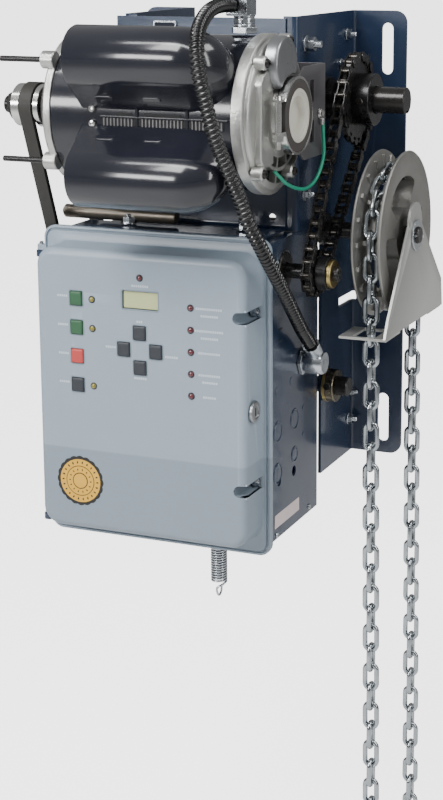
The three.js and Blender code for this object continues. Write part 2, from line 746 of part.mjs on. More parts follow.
const driveEnds = {
  motor: { y: MOTOR.y, z: MOTOR.z, r: 18 },
  driven: { ...FIRST, r: 60 },
};
machine.add(
  mesh('v_belt', loop(driveEnds.motor, driveEnds.driven, 3.6, BELT_X - 6.3, BELT_X + 6.3), rubber),
  mesh('roller_chain', chainLoop({ ...OUTPUT, r: outputR }, { ...LIMIT, r: smallR }, CHAIN_X), blackSteel),
  mesh('first_stage_chain', chainLoop(
    { ...SECOND, r: largeR },
    { ...FIRST, r: smallR },
    STAGE_X.first,
  ), blackSteel),
  mesh('second_stage_chain', chainLoop(
    { ...OUTPUT, r: largeR },
    { ...SECOND, r: smallR },
    STAGE_X.second,
  ), blackSteel),
  mesh('conduit', tubeAlong(CONDUIT_PATH, 6.5, 8, 36), rubber),
  mesh('conduit_connector_top', topConnector(), zinc),
  mesh('conduit_connector_bottom', bottomConnector(), zinc),
  mesh('ground_wire', tubeAlong(GROUND_PATH, 1.6, 8, 16), greenPlastic),
  mesh('spring_eye', springEye(), zinc),
);

const hanging = mesh('release_spring', spring(), zinc);
hanging.position.set(-83, -160, BOX.bottom - 50.5);
machine.add(hanging);

export default machine;
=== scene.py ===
"""Looks of a wall-mounted door operator with a hand chain hoist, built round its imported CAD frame.

Sizes are in millimetres from the outer face of the right side plate, the wall and the output shaft,
as in the CAD source. They become metres in the row frame when a mesh is made. A place beside a shaft
is a pair (Y, Z), and a turned profile is a list of (radius, distance along the axis).
"""

import json
import math

import bmesh
import bpy
from mathutils import Matrix, Vector

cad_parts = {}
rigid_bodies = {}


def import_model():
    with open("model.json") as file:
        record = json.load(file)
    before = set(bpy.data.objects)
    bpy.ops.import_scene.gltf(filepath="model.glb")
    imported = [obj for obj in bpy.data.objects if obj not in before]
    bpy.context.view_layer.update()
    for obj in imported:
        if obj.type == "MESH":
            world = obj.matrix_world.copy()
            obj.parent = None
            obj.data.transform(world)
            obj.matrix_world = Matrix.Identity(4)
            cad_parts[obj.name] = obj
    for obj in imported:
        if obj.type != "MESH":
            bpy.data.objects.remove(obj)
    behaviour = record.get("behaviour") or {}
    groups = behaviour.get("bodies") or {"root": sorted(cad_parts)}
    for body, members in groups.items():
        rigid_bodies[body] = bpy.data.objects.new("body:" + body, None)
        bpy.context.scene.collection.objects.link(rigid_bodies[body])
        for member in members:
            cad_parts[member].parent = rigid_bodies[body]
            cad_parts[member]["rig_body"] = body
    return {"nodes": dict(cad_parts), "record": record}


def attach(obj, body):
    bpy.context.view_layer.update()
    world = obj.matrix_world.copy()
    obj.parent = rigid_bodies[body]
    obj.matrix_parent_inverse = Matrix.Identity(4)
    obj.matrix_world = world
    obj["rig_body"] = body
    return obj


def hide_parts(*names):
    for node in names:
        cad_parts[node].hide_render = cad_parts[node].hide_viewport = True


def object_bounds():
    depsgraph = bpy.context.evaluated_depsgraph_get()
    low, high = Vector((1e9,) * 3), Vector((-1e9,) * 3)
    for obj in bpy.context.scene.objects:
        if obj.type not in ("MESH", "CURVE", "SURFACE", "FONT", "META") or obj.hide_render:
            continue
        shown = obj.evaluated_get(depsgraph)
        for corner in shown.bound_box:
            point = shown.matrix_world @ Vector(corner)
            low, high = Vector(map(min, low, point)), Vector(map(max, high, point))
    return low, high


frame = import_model()
cad_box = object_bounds()

MM = 0.001
SLOT_LINE = 34.8
TO_ROW = Matrix.Scale(MM, 4) @ Matrix.Translation((-SLOT_LINE, 0, 0))
SLOTS = {part["node"]: part["material_slot"] for part in frame["record"]["subparts"]}

OUTPUT = (-80, 0)
FIRST = (-84, -285)
SECOND = (-95, -125.6)
LIMIT = (-193, -149)
MOTOR = (-236, -1)
PITCH = 12.7
TEETH = {"small": 9, "output": 20, "large": 24}
PITCH_R = {size: PITCH / (2 * math.sin(math.pi / teeth)) for size, teeth in TEETH.items()}
CHAIN_X = 30
STAGE_X = {"first": -150, "second": -124}
BELT_X = -232
BELT_R = {"motor": 18, "driven": 60}
MASTER_LINK = 2
WHEEL = {"left": 57.5, "right": 87.5, "r": 80, "x": 73, "chain": 64}
CHAIN_LOW = -797
CHAIN_LEAN = 0.011

# The cover's rim and its raised dome, as (left, right, low, high), and the places of their faces.
RIM = (-232, 1, -417, -115)
DOME = (-222, -7, -401, -128)
COVER_BACK = -222.3
RIM_FRONT = COVER_BACK - 6.2
FACE = -266
# Height in metres of the level line below which the cover's finish is darker.
TONE_STEP_HEIGHT = -0.3205
COLUMN_X = -178.2
CROSS = (-113.2, -219.4)
CROSS_ARM = 16.4
LATCH = (-250, -270.7)

ROOM_LIGHT = 0.42
BACKDROP = 3
FLOOR_GLOW = 2.6
MIDDLE = (-0.1, -0.15, -0.15)
LIGHTS = [
    ("key", (-0.6, -1.7, 1.5), MIDDLE, (1.0, 0.8), 42),
    ("front", (-1.0, -1.95, 0.36), (-0.15, -0.3, 0.02), (0.9, 0.34), 22),
    ("strip", (-0.3, -1.2, 1.4), (-0.1, -0.2, 0), (2.0, 0.16), 16),
    ("side", (2.0, -0.9, 0.6), MIDDLE, (0.25, 1.6), 14),
    ("rim", (1.2, -0.1, 1.3), MIDDLE, (0.8, 0.5), 12),
]


def at(x, y, z):
    """A point given in the CAD source's millimetres, in the row frame's metres."""
    return TO_ROW @ Vector((x, y, z))


# ---- camera, light and floor ----
def add_camera():
    data = bpy.data.cameras.new("camera")
    data.lens = 76.2
    data.sensor_width = 36
    data.shift_x = -0.0806
    data.shift_y = -0.1252
    camera = bpy.data.objects.new("camera", data)
    bpy.context.scene.collection.objects.link(camera)
    camera.location = at(573, -1618.9, 150.9)
    camera.rotation_euler = (math.radians(77.95), 0, math.radians(21.82))
    bpy.context.scene.camera = camera


def add_light(name, place, target, size, power):
    data = bpy.data.lights.new(name, "AREA")
    data.shape = "RECTANGLE"
    data.size, data.size_y = size
    data.energy = power
    lamp = bpy.data.objects.new(name, data)
    bpy.context.scene.collection.objects.link(lamp)
    lamp.location = Vector(place)
    lamp.rotation_euler = (Vector(target) - lamp.location).to_track_quat("-Z", "Y").to_euler()


def add_node(tree, kind, setup=(), **values):
    """A new shader node. values sets its inputs, with an underscore for each space in a name."""
    made = tree.nodes.new("ShaderNode" + kind)
    for name, value in setup:
        setattr(made, name, value)
    for name, value in values.items():
        made.inputs[name.replace("_", " ")].default_value = value
    return made


def add_world():
    """A dim room that is lighter above. The camera itself sees a white backdrop in its place."""
    world = bpy.data.worlds.new("studio")
    world.use_nodes = True
    tree = world.node_tree
    link = tree.links.new
    room = tree.nodes["Background"]
    room.inputs["Strength"].default_value = ROOM_LIGHT
    place = add_node(tree, "TexCoord")
    height = add_node(tree, "SeparateXYZ")
    fade = add_node(tree, "MapRange", From_Min=-0.4, From_Max=0.7, To_Min=0.25)
    link(place.outputs["Generated"], height.inputs["Vector"])
    link(height.outputs["Z"], fade.inputs["Value"])
    link(fade.outputs["Result"], room.inputs["Color"])
    backdrop = add_node(tree, "Background", Color=(1, 1, 1, 1), Strength=BACKDROP)
    path = add_node(tree, "LightPath")
    both = add_node(tree, "MixShader")
    link(path.outputs["Is Camera Ray"], both.inputs["Fac"])
    link(room.outputs["Background"], both.inputs[1])
    link(backdrop.outputs["Background"], both.inputs[2])
    link(both.outputs["Shader"], tree.nodes["World Output"].inputs["Surface"])
    bpy.context.scene.world = world


def add_floor():
    """A sheet of paper just below the part, as bright as the backdrop to the camera."""
    mesh = bpy.data.meshes.new("floor")
    bm = bmesh.new()
    corners = [(-9, -9), (9, -9), (9, 9), (-9, 9)]
    bm.faces.new([bm.verts.new((x, y, cad_box[0][2] - 0.01)) for x, y in corners])
    bm.to_mesh(mesh)
    bm.free()
    floor = bpy.data.objects.new("floor", mesh)
    paper = surface("floor_paper", (0.9, 0.9, 0.9), 0.8, grain=90, relief=0.02, mottle=0.01)
    tree = paper.node_tree
    shader = tree.nodes["Principled BSDF"]
    shader.inputs["Emission Color"].default_value = (1, 1, 1, 1)
    path = add_node(tree, "LightPath")
    lift = add_node(tree, "Math", [("operation", "MULTIPLY")])
    lift.inputs[1].default_value = FLOOR_GLOW
    tree.links.new(path.outputs["Is Camera Ray"], lift.inputs[0])
    tree.links.new(lift.outputs["Value"], shader.inputs["Emission Strength"])
    floor.data.materials.append(paper)
    bpy.context.scene.collection.objects.link(floor)


# ---- materials ----
def mix_colours(tree, setup=(), **values):
    return add_node(tree, "Mix", [("data_type", "RGBA"), *setup], **values)


def rubbed(tree, colour, worn):
    """A colour that turns into the worn one on a mesh's outer edges."""
    shape = add_node(tree, "NewGeometry")
    edge = add_node(tree, "MapRange", From_Min=0.53, From_Max=0.62, To_Max=0.6)
    rub = mix_colours(tree, B=(*worn, 1))
    tree.links.new(shape.outputs["Pointiness"], edge.inputs["Value"])
    tree.links.new(edge.outputs["Result"], rub.inputs["Factor"])
    tree.links.new(colour, rub.inputs["A"])
    return rub.outputs["Result"]


def surface(name, color, roughness, metallic=0.0, grain=900.0, relief=0.12, mottle=0.06,
            patch=35.0, coat=0.0, spread=0.08, worn=None, streak=None):
    """One procedural finish. grain is the fine relief's scale, patch the colour clouds' scale, worn
    the colour that shows on rubbed edges, and streak an axis scale that stretches the relief."""
    material = bpy.data.materials.new(name)
    material.use_nodes = True
    tree = material.node_tree
    link = tree.links.new
    shader = tree.nodes["Principled BSDF"]
    shader.inputs["Metallic"].default_value = metallic
    shader.inputs["Coat Weight"].default_value = coat
    shader.inputs["Coat Roughness"].default_value = 0.08
    place = add_node(tree, "TexCoord").outputs["Object"]

    clouds = add_node(tree, "TexNoise", Scale=patch, Detail=5)
    link(place, clouds.inputs["Vector"])
    darker = (*[c * (1 - mottle) for c in color], 1)
    lighter = (*[min(1, c * (1 + mottle)) for c in color], 1)
    tint = mix_colours(tree, A=darker, B=lighter)
    link(clouds.outputs["Fac"], tint.inputs["Factor"])
    colour = tint.outputs["Result"]
    if worn:
        colour = rubbed(tree, colour, worn)
    link(colour, shader.inputs["Base Color"])
    rough = add_node(tree, "MapRange", To_Min=max(0.02, roughness - spread),
                     To_Max=min(1, roughness + spread))
    link(clouds.outputs["Fac"], rough.inputs["Value"])
    link(rough.outputs["Result"], shader.inputs["Roughness"])

    if streak:
        stretch = add_node(tree, "Mapping", Scale=streak)
        link(place, stretch.inputs["Vector"])
        place = stretch.outputs["Vector"]
    fine = add_node(tree, "TexNoise", Scale=grain, Detail=3)
    link(place, fine.inputs["Vector"])
    bump = add_node(tree, "Bump", Strength=relief, Distance=0.0005)
    link(fine.outputs["Fac"], bump.inputs["Height"])
    link(bump.outputs["Normal"], shader.inputs["Normal"])
    return material


def darken_below_step(material):
    """Makes a finish a little darker below a level line across the cover."""
    tree = material.node_tree
    link = tree.links.new
    base = tree.nodes["Principled BSDF"].inputs["Base Color"]
    colour = base.links[0].from_socket
    place = add_node(tree, "TexCoord")
    height = add_node(tree, "SeparateXYZ")
    below = add_node(tree, "MapRange", From_Min=TONE_STEP_HEIGHT - MM, From_Max=TONE_STEP_HEIGHT + MM, To_Min=0.8)
    shade = mix_colours(tree, [("blend_type", "MULTIPLY")], Factor=1)
    link(place.outputs["Object"], height.inputs["Vector"])
    link(height.outputs["Z"], below.inputs["Value"])
    link(colour, shade.inputs["A"])
    link(below.outputs["Result"], shade.inputs["B"])
    link(shade.outputs["Result"], base)


LOOKS = {
    "blue_paint": dict(color=(0.0125, 0.0235, 0.052), roughness=0.24, grain=420, relief=0.07, mottle=0.12,
                       coat=0.3, worn=(0.05, 0.075, 0.12)),
    "grey_cover": dict(color=(0.265, 0.325, 0.385), roughness=0.36, grain=1300, relief=0.08, mottle=0.03,
                       spread=0.04, worn=(0.36, 0.43, 0.5)),
    "dark_paint": dict(color=(0.011, 0.012, 0.018), roughness=0.17, grain=300, relief=0.04, mottle=0.2,
                       coat=0.3, spread=0.05),
    "cast_aluminium": dict(color=(0.5, 0.5, 0.48), roughness=0.38, metallic=0.9, grain=420, relief=0.5,
                           mottle=0.2, patch=60, spread=0.12),
    "cap_steel": dict(color=(0.3, 0.31, 0.32), roughness=0.3, metallic=0.9, grain=500, relief=0.1,
                      mottle=0.12),
    "wheel_cast": dict(color=(0.27, 0.265, 0.25), roughness=0.46, metallic=0.8, grain=620, relief=0.6,
                       mottle=0.16, patch=80),
    "machined": dict(color=(0.62, 0.62, 0.6), roughness=0.2, metallic=1, grain=500, relief=0.1,
                     mottle=0.1, streak=(1, 0.1, 0.1)),
    "zinc": dict(color=(0.5, 0.53, 0.56), roughness=0.2, metallic=1, grain=700, relief=0.1, mottle=0.16,
                 patch=120),
    "chain_zinc": dict(color=(0.4, 0.43, 0.45), roughness=0.17, metallic=1, grain=500, relief=0.14,
                       mottle=0.25, patch=160),
    "yellow_zinc": dict(color=(0.4, 0.31, 0.13), roughness=0.3, metallic=1, mottle=0.35, patch=90),
    "collar_steel": dict(color=(0.17, 0.15, 0.11), roughness=0.26, metallic=1, mottle=0.45, patch=70),
    "black_steel": dict(color=(0.013, 0.0125, 0.013), roughness=0.27, metallic=0.5, grain=800, relief=0.1,
                        mottle=0.3, patch=90, worn=(0.06, 0.055, 0.05)),
    "roller_steel": dict(color=(0.06, 0.055, 0.05), roughness=0.25, metallic=0.9, grain=600, relief=0.1,
                         mottle=0.3, patch=150),
    "bare_steel": dict(color=(0.13, 0.115, 0.095), roughness=0.4, metallic=0.8, grain=600, relief=0.2,
                       mottle=0.25, patch=120),
    "sheet_steel": dict(color=(0.36, 0.36, 0.345), roughness=0.4, metallic=0.6, grain=700, relief=0.1,
                        mottle=0.07, patch=25, worn=(0.7, 0.7, 0.68)),
    "cradle_steel": dict(color=(0.085, 0.08, 0.088), roughness=0.36, metallic=0.55, grain=500, relief=0.1,
                         mottle=0.2, patch=60, worn=(0.3, 0.3, 0.3)),
    "ring_rubber": dict(color=(0.045, 0.04, 0.037), roughness=0.7, grain=800, relief=0.3),
    "belt": dict(color=(0.021, 0.02, 0.017), roughness=0.62, grain=1500, relief=0.5, mottle=0.25,
                 streak=(1, 0.3, 0.3)),
    "jacket": dict(color=(0.0035, 0.0035, 0.004), roughness=0.16, relief=0.06, mottle=0.3, coat=0.15,
                   spread=0.04),
    "cream_plastic": dict(color=(0.52, 0.51, 0.44), roughness=0.4, mottle=0.05),
    "green_cover_wire": dict(color=(0.006, 0.235, 0.14), roughness=0.33, mottle=0.1),
    "board": dict(color=(0.012, 0.09, 0.035), roughness=0.35, grain=300, relief=0.2, mottle=0.3, patch=400,
                  coat=0.3),
    "green_button": dict(color=(0.022, 0.09, 0.038), roughness=0.5, relief=0.2, mottle=0.1),
    "red_button": dict(color=(0.45, 0.05, 0.045), roughness=0.5, relief=0.2, mottle=0.1),
    "dark_button": dict(color=(0.022, 0.026, 0.033), roughness=0.5, relief=0.2, mottle=0.1),
    "display": dict(color=(0.5, 0.54, 0.28), roughness=0.2, grain=1500, relief=0.03, coat=0.5),
    "gap_shade": dict(color=(0.006, 0.006, 0.007), roughness=0.7, relief=0.2),
    # Painted shade: a near-black finish for slits, gaps and openings whose insides lie in shadow.
    "amber_lamp": dict(color=(0.2, 0.17, 0.02), roughness=0.15, relief=0.02, coat=0.8),
    "red_lamp": dict(color=(0.085, 0.004, 0.008), roughness=0.15, relief=0.02, coat=0.8),
    "ink_grey": dict(color=(0.2, 0.25, 0.29), roughness=0.45, relief=0.05),
    "ink": dict(color=(0.52, 0.58, 0.63), roughness=0.6, relief=0.05),
    "black_ink": dict(color=(0.012, 0.012, 0.011), roughness=0.45, relief=0.05),
    "gold_ink": dict(color=(0.66, 0.37, 0.035), roughness=0.42, relief=0.08, mottle=0.1),
    "label": dict(color=(0.66, 0.56, 0.55), roughness=0.5, relief=0.05, mottle=0.05),
}
FINISHES = {name: surface(name, **look) for name, look in LOOKS.items()}
darken_below_step(FINISHES["grey_cover"])


# ---- outlines ----
def polar(centre, radius, degrees):
    """The place at a distance and an angle from another."""
    turn = math.radians(degrees)
    return (centre[0] + radius * math.cos(turn), centre[1] + radius * math.sin(turn))


def arc(centre, radius, first, last, steps):
    """Places along a circle from one angle to another."""
    return [polar(centre, radius, first + (last - first) * i / steps) for i in range(steps + 1)]


def circle(radius, steps, centre=(0, 0)):
    return arc(centre, radius, 0, 360, steps)[:-1]


def hexagon(across, turn=0.0, centre=(0, 0)):
    """A hexagon, by its width across the flats."""
    return arc(centre, across / math.sqrt(3), turn, turn + 360, 6)[:-1]


def grown(box, growth, radius, steps=4):
    """A (left, right, low, high) rectangle made bigger all round, with round corners."""
    left, right, low, high = box[0] - growth, box[1] + growth, box[2] - growth, box[3] + growth
    points = arc((right - radius, high - radius), radius, 0, 90, steps)
    points += arc((left + radius, high - radius), radius, 90, 180, steps)
    points += arc((left + radius, low + radius), radius, 180, 270, steps)
    return points + arc((right - radius, low + radius), radius, 270, 360, steps)


def smooth_path(points, step):
    """Points along a Catmull-Rom curve, about step apart."""
    points = [Vector(p) for p in points]
    ends = [2 * points[0] - points[1], *points, 2 * points[-1] - points[-2]]
    path = []
    for a, b, c, d in zip(ends, ends[1:], ends[2:], ends[3:]):
        count = max(1, round((c - b).length / step))
        for i in range(count):
            t = i / count
            path.append(0.5 * (2 * b + (c - a) * t + (2 * a - 5 * b + 4 * c - d) * t * t
                               + (3 * b - a - 3 * c + d) * t ** 3))
    return path + [points[-1]]


# ---- mesh helpers ----
def skin(bm, loops, ring=False):
    """Joins loops of points with the same count into a surface, closed at its ends or into a ring."""
    rows = [[bm.verts.new(point) for point in loop] for loop in loops]
    pairs = list(zip(rows, rows[1:]))
    if ring:
        pairs.append((rows[-1], rows[0]))
    for a, b in pairs:
        for i in range(len(a)):
            j = (i + 1) % len(a)
            bm.faces.new((a[i], a[j], b[j], b[i]))
    if not ring:
        bm.faces.new(rows[0][::-1])
        bm.faces.new(rows[-1])


def layered(bm, axis, outlines, ring=False):
    """Joins outlines, each given with its place along an axis."""
    at_axis = {"x": lambda w, u, v: (w, u, v), "y": lambda w, u, v: (u, w, v), "z": lambda w, u, v: (u, v, w)}
    skin(bm, [[at_axis[axis](w, u, v) for u, v in outline] for outline, w in outlines], ring)


def slab(bm, axis, outline, low, high):
    """An outline with thickness along an axis."""
    layered(bm, axis, [(outline, low), (outline, high)])


def brick(bm, x0, x1, y0, y1, z0, z1):
    slab(bm, "z", [(x0, y0), (x1, y0), (x1, y1), (x0, y1)], z0, z1)


def border(bm, axis, outer, inner, back, front, deep):
    """A frame round an opening whose walls go down to deep."""
    layered(bm, axis, [(outer, back), (outer, front), (inner, front), (inner, deep)], ring=True)


def turned(bm, axis, profile, centre, steps=64, ring=False):
    """A turned body about an axis through centre, solid or, as a ring, hollow."""
    layered(bm, axis, [(circle(radius, steps, centre), along) for radius, along in profile], ring)


def bar(bm, axis, radius, start, end, centre, steps=32, edge=0.0):
    """A round bar along an axis, with softened ends where edge is given."""
    profile = [(radius, start + edge), (radius, end - edge)]
    if edge:
        profile = [(radius - edge, start), *profile, (radius - edge, end)]
    turned(bm, axis, profile, centre, steps)


def tube(bm, path, radius, sides=12, ring=False, wave=None):
    """A round section swept along a path. wave(distance, turn) adds to the radius."""
    path = [Vector(p) for p in path]
    count = len(path)
    normal = None
    travelled = 0
    loops = []
    for i, point in enumerate(path):
        before = path[i - 1] if i or ring else point
        after = path[(i + 1) % count] if i + 1 < count or ring else point
        tangent = (after - before).normalized()
        if normal is None:
            normal = tangent.orthogonal().normalized()
        normal = (normal - tangent * normal.dot(tangent)).normalized()
        other = tangent.cross(normal)
        travelled += (point - path[i - 1]).length if i else 0
        loop = []
        for k in range(sides):
            turn = 2 * math.pi * k / sides
            r = radius + (wave(travelled, turn) if wave else 0)
            loop.append(point + r * (math.cos(turn) * normal + math.sin(turn) * other))
        loops.append(loop)
    skin(bm, loops, ring)


def facing(bm, build, place, axis):
    """Builds something that points up +Z at the origin, then turns it to axis and moves it to place."""
    first = len(bm.verts)
    build(bm)
    bm.verts.ensure_lookup_table()
    turn = Vector((0, 0, 1)).rotation_difference(Vector(axis)).to_matrix().to_4x4()
    bmesh.ops.transform(bm, matrix=Matrix.Translation(place) @ turn, verts=bm.verts[first:])


def bolt(bm, place, axis, across, height, stub, stub_radius, washer):
    """A hex nut on a washer, with a threaded end standing out of it where stub is given."""
    thick, pitch, groove = 1.4, 0.6, 0.35
    top = thick + height

    def build(part):
        bar(part, "z", washer, 0, thick, (0, 0), 28, 0.3)
        slab(part, "z", hexagon(across), thick, top)
        if stub:
            threads = [(stub_radius - groove * (i % 2), top + pitch * i) for i in range(int(stub / pitch))]
            threads.append((stub_radius - 1, threads[-1][1] + pitch))
            turned(part, "z", threads, (0, 0), 16)
    facing(bm, build, place, axis)


def screw(bm, place, axis, radius, height):
    """A pan head screw with a round recess in its top."""
    profile = [(1, 0), (1, 0.45), (0.8, 0.85), (0.35, 1), (0.3, 0.55)]
    rings = [(radius * share, height * rise) for share, rise in profile]
    facing(bm, lambda part: turned(part, "z", rings, (0, 0), 24), place, axis)


def set_screw(bm, place, axis, radius, height, steps, edge):
    facing(bm, lambda part: bar(part, "z", radius, 0, height, (0, 0), steps, edge), place, axis)


# ---- pieces ----
def shade(mesh, crease):
    """Smooth shading with sharp edges where the faces meet at more than crease degrees."""
    mesh.polygons.foreach_set("use_smooth", [True] * len(mesh.polygons))
    mesh.set_sharp_from_angle(angle=math.radians(crease))


def soften(piece, width, segments=2, angle=35):
    """Rounds a piece's sharp edges."""
    change = piece.modifiers.new("soften", "BEVEL")
    change.width = width * MM
    change.segments = segments
    change.limit_method = "ANGLE"
    change.angle_limit = math.radians(angle)
    change.harden_normals = True


def mesh_of(name, bm):
    """Turns what was built in the CAD source's millimetres into a mesh in the row frame."""
    bmesh.ops.recalc_face_normals(bm, faces=bm.faces)
    bmesh.ops.transform(bm, matrix=TO_ROW, verts=bm.verts)
    mesh = bpy.data.meshes.new(name)
    bm.to_mesh(mesh)
    bm.free()
    return mesh


def add_piece(name, mesh, finish, body, replaces, bevel, crease):
    shade(mesh, crease)
    mesh.materials.clear()
    mesh.materials.append(FINISHES[finish])
    piece = bpy.data.objects.new(name, mesh)
    bpy.context.scene.collection.objects.link(piece)
    if bevel:
        soften(piece, bevel, angle=crease)
    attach(piece, body)
    if replaces:
        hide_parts(*replaces)
    return piece


def emit(name, bm, finish, body="machine", node=None, slot=None, bevel=0.0, crease=35):
    """Makes a piece that rides on a body and, where node is given, stands for that CAD node."""
    slot = slot or SLOTS.get(node, finish)
    replaces = (node,) if node else ()
    return add_piece(name, mesh_of(name, bm), finish, body, replaces, bevel, crease)


def emit_turned(name, centre, profile, finish, body="machine", node=None, steps=64, ring=True, bevel=0.0):
    """A piece turned about an X axis through centre."""
    bm = bmesh.new()
    turned(bm, "x", profile, centre, steps, ring)
    return emit(name, bm, finish, body, node, bevel=bevel)


def refined(node, finish=None, bevel=0.5):
    """A CAD node whose shape is right, with clean flat faces and softened edges."""
    source = frame["nodes"][node]
    bm = bmesh.new()
    bm.from_mesh(source.data)
    bmesh.ops.remove_doubles(bm, verts=bm.verts, dist=1e-6)
    bmesh.ops.dissolve_limit(bm, angle_limit=math.radians(1.5), verts=bm.verts, edges=bm.edges)
    name = node + "_skin"
    mesh = bpy.data.meshes.new(name)
    bm.to_mesh(mesh)
    bm.free()
    slot = SLOTS[node]
    add_piece(name, mesh, finish or slot, source["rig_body"], (node,), bevel, 30)


def carve(piece, *cutters, crease=35):
    """Cuts each cutter out of a piece that has no modifiers yet."""
    for cutter in cutters:
        tool = bpy.data.objects.new("cutter", mesh_of("cutter", cutter))
        bpy.context.scene.collection.objects.link(tool)
        cut = piece.modifiers.new("carve", "BOOLEAN")
        cut.operation = "DIFFERENCE"
        cut.object = tool
        cut.solver = "EXACT"
        view = bpy.context.evaluated_depsgraph_get()
        view.update()
        result = bpy.data.meshes.new_from_object(piece.evaluated_get(view))
        piece.modifiers.remove(cut)
        piece.data = result
        bpy.data.objects.remove(tool)
    shade(piece.data, crease)


# ---- conduit and ground wire, which are cords held at both ends ----
CONDUIT_PATH = [
    (-25.6, -250, 94.1), (-28, -262, 94.5), (-28.4, -280, 93.4), (-26.4, -301, 89.2), (-23.4, -320, 81.8),
    (-20.2, -333, 74.3), (-17.1, -342, 65.9), (-14.9, -347, 56.5), (-11.5, -349, 37.1), (-8.6, -344, 17.1),
    (-6.1, -338, -3.2), (-3, -329, -24.1), (1.6, -319, -45.3), (5.9, -308, -66.2), (9.5, -300, -87),
    (15, -284, -112), (17.6, -258, -140.5), (17.2, -226, -170.4), (15.9, -190, -203.4), (15.3, -165, -223.3),
]
GROUND_PATH = [
    (31.6, -177, -13), (32, -176, -26), (32, -175, -42), (31, -182, -56), (30, -194, -65), (28, -209, -69),
    (26, -226, -67), (23, -243, -61), (20, -254, -53), (18, -260, -48),
]
RIB_PITCH = 4.6


def add_cord(name, points, radius, finish, node, sides, step=1.0, wave=None):
    bm = bmesh.new()
    tube(bm, smooth_path(points, step), radius, sides, wave=wave)
    piece = emit(name, bm, finish, node=node, crease=60)


def spiral_rib(along, turn):
    """The conduit jacket's rib, which winds round it like a thread."""
    return 0.78 * math.tanh(1.6 * math.sin(2 * math.pi * along / RIB_PITCH - turn))


def add_cords():
    add_cord("conduit_jacket", CONDUIT_PATH, 5.9, "jacket", "conduit", 28, 0.5, spiral_rib)
    add_cord("ground_lead", GROUND_PATH, 1.6, "green_cover_wire", "ground_wire", 14)


# ---- frame ----
def add_frame():
    for node in ("right_bracket", "left_bracket", "motor_plate"):
        refined(node, bevel=0.6)
    refined("control_box", bevel=0.4)
    refined("cradle", "cradle_steel")

    bolts = bmesh.new()
    side, up = (1, 0, 0), (0, 0, 1)
    for y, z in [(-25.7, 58.3), (-42.4, 29.9), (-142, -85), (-13.8, -339)]:
        bolt(bolts, (0.2, y, z), side, 9, 4, 5, 2.6, 6.4)
    bolt(bolts, (0.2, -138, 54.8), side, 12, 8, 7, 3.6, 8.4)
    bolt(bolts, (0.2, -6, -312), side, 7, 3, 4, 2, 4.5)
    for x, y in [(-158, -196), (-42, -187)]:
        bolt(bolts, (x, y, -114.6), up, 11, 5, 3, 3, 8)
    emit("frame_bolts", bolts, "zinc", bevel=0.25)

    rod = bmesh.new()
    bar(rod, "x", 6.5, -229, -110, (-190, -107), 28, 1)
    bar(rod, "x", 4.4, -230.4, -229, (-190, -107), 20, 0.6)
    emit("tension_rod", rod, "bare_steel")

    window = bmesh.new()
    opening = (-143.4, -122.6, 66.6, 73.4)
    border(window, "y", grown(opening, 1.6, 1.5, 8), grown(opening, 0, 1, 8), -162.3, -163.4, -162.3)
    emit("plate_window_frame", window, "zinc", bevel=0.2)


# ---- control box details ----
def add_box_details():
    rings, discs = bmesh.new(), bmesh.new()
    for y, z, r in [(-209, -300, 10.5), (-166, -299, 10.5), (-209, -341, 10.5), (-166, -334, 8)]:
        lip = [(r - 1.6, -0.2), (r, -0.2), (r - 0.2, 0.45), (r - 0.8, 0.7), (r - 1.4, 0.45)]
        turned(rings, "x", lip, (y, z), 44, ring=True)
        turned(discs, "x", [(0.2, -0.2), (r - 2.2, -0.2), (r - 2.6, 0.3), (0.2, 0.45)], (y, z), 44)
    for y, z, r in [(-210, -261, 4.4), (-173, -260, 4.4), (-142.5, -293.7, 2.4), (-142.4, -320.5, 2.4)]:
        bar(discs, "x", r, -0.2, 0.5, (y, z), 24, 0.3)
    emit("box_knockouts", discs, "blue_paint")
    emit("box_rings", rings, "blue_paint")

    # Painted shade: flat near-black bars and discs put where the box shows only the shadowed insides of its
    # slits and openings.
    slits = bmesh.new()
    for z in (-203, -214.6):
        brick(slits, -0.4, 0.12, -206, -197, z - 0.8, z + 0.8)
    for place in [(-205, -349.5), (-167, -350.5)]:
        bar(slits, "x", 5, -14, -13.4, place, 20)
    emit("box_slit_shade", slits, "gap_shade")

    label = bmesh.new()
    slab(label, "x", grown((-216, -154, -394, -381), 0, 0.8, 3), -0.05, 0.25)
    emit("blank_label", label, "label")

    screws = bmesh.new()
    for y, z in [(-211, -401), (-127, -399.6)]:
        screw(screws, (0, y, z), (1, 0, 0), 2.8, 1.6)
    emit("box_screws", screws, "zinc")

    bush = [(7.5, 0), (17.4, 0), (17.4, 1.8), (16.6, 2.6), (7.5, 2.6)]
    emit_turned("limit_bush", LIMIT, bush, "black_steel")
    emit_turned("limit_bush_edge", LIMIT, [(17.5, 0), (19, 0), (19, 1.4), (17.5, 1.6)], "zinc")


# ---- cover ----
BUTTONS = [
    ("open_button", COLUMN_X, -175.2, "green_button"),
    ("close_button", COLUMN_X, -202.7, "green_button"),
    ("stop_button", COLUMN_X, -230.2, "red_button"),
    ("learn_button", COLUMN_X, -257.7, "dark_button"),
    ("up_button", CROSS[0], CROSS[1] + CROSS_ARM, "dark_button"),
    ("back_button", CROSS[0] - CROSS_ARM, CROSS[1], "dark_button"),
    ("enter_button", CROSS[0] + CROSS_ARM, CROSS[1], "dark_button"),
    ("down_button", CROSS[0], CROSS[1] - CROSS_ARM, "dark_button"),
]
LAMP_COLUMN = [-175.2 - 20.55 * i for i in range(5)]
DISPLAY = (-130.4, -94.1, -181.1, -164)
COVER_SCREWS = [-181.5, -343.6]
SCREW_X = -13.4
SCOOP = {"centre": -14.9, "half": 5.6}
HINGE = {"place": (-238, -223), "bases": (-141, -405)}


def key_box(x, z):
    """A button's outline, as (left, right, low, high)."""
    return (x - 6.5, x + 6.5, z - 6.75, z + 6.75)


def scoop_outline(z, half, right):
    """The recess that lets a cover screw be reached: open at the right, round at the left."""
    return [(right, z + half), *arc((SCOOP["centre"], z), half, 90, 270, 12), (right, z - half)]


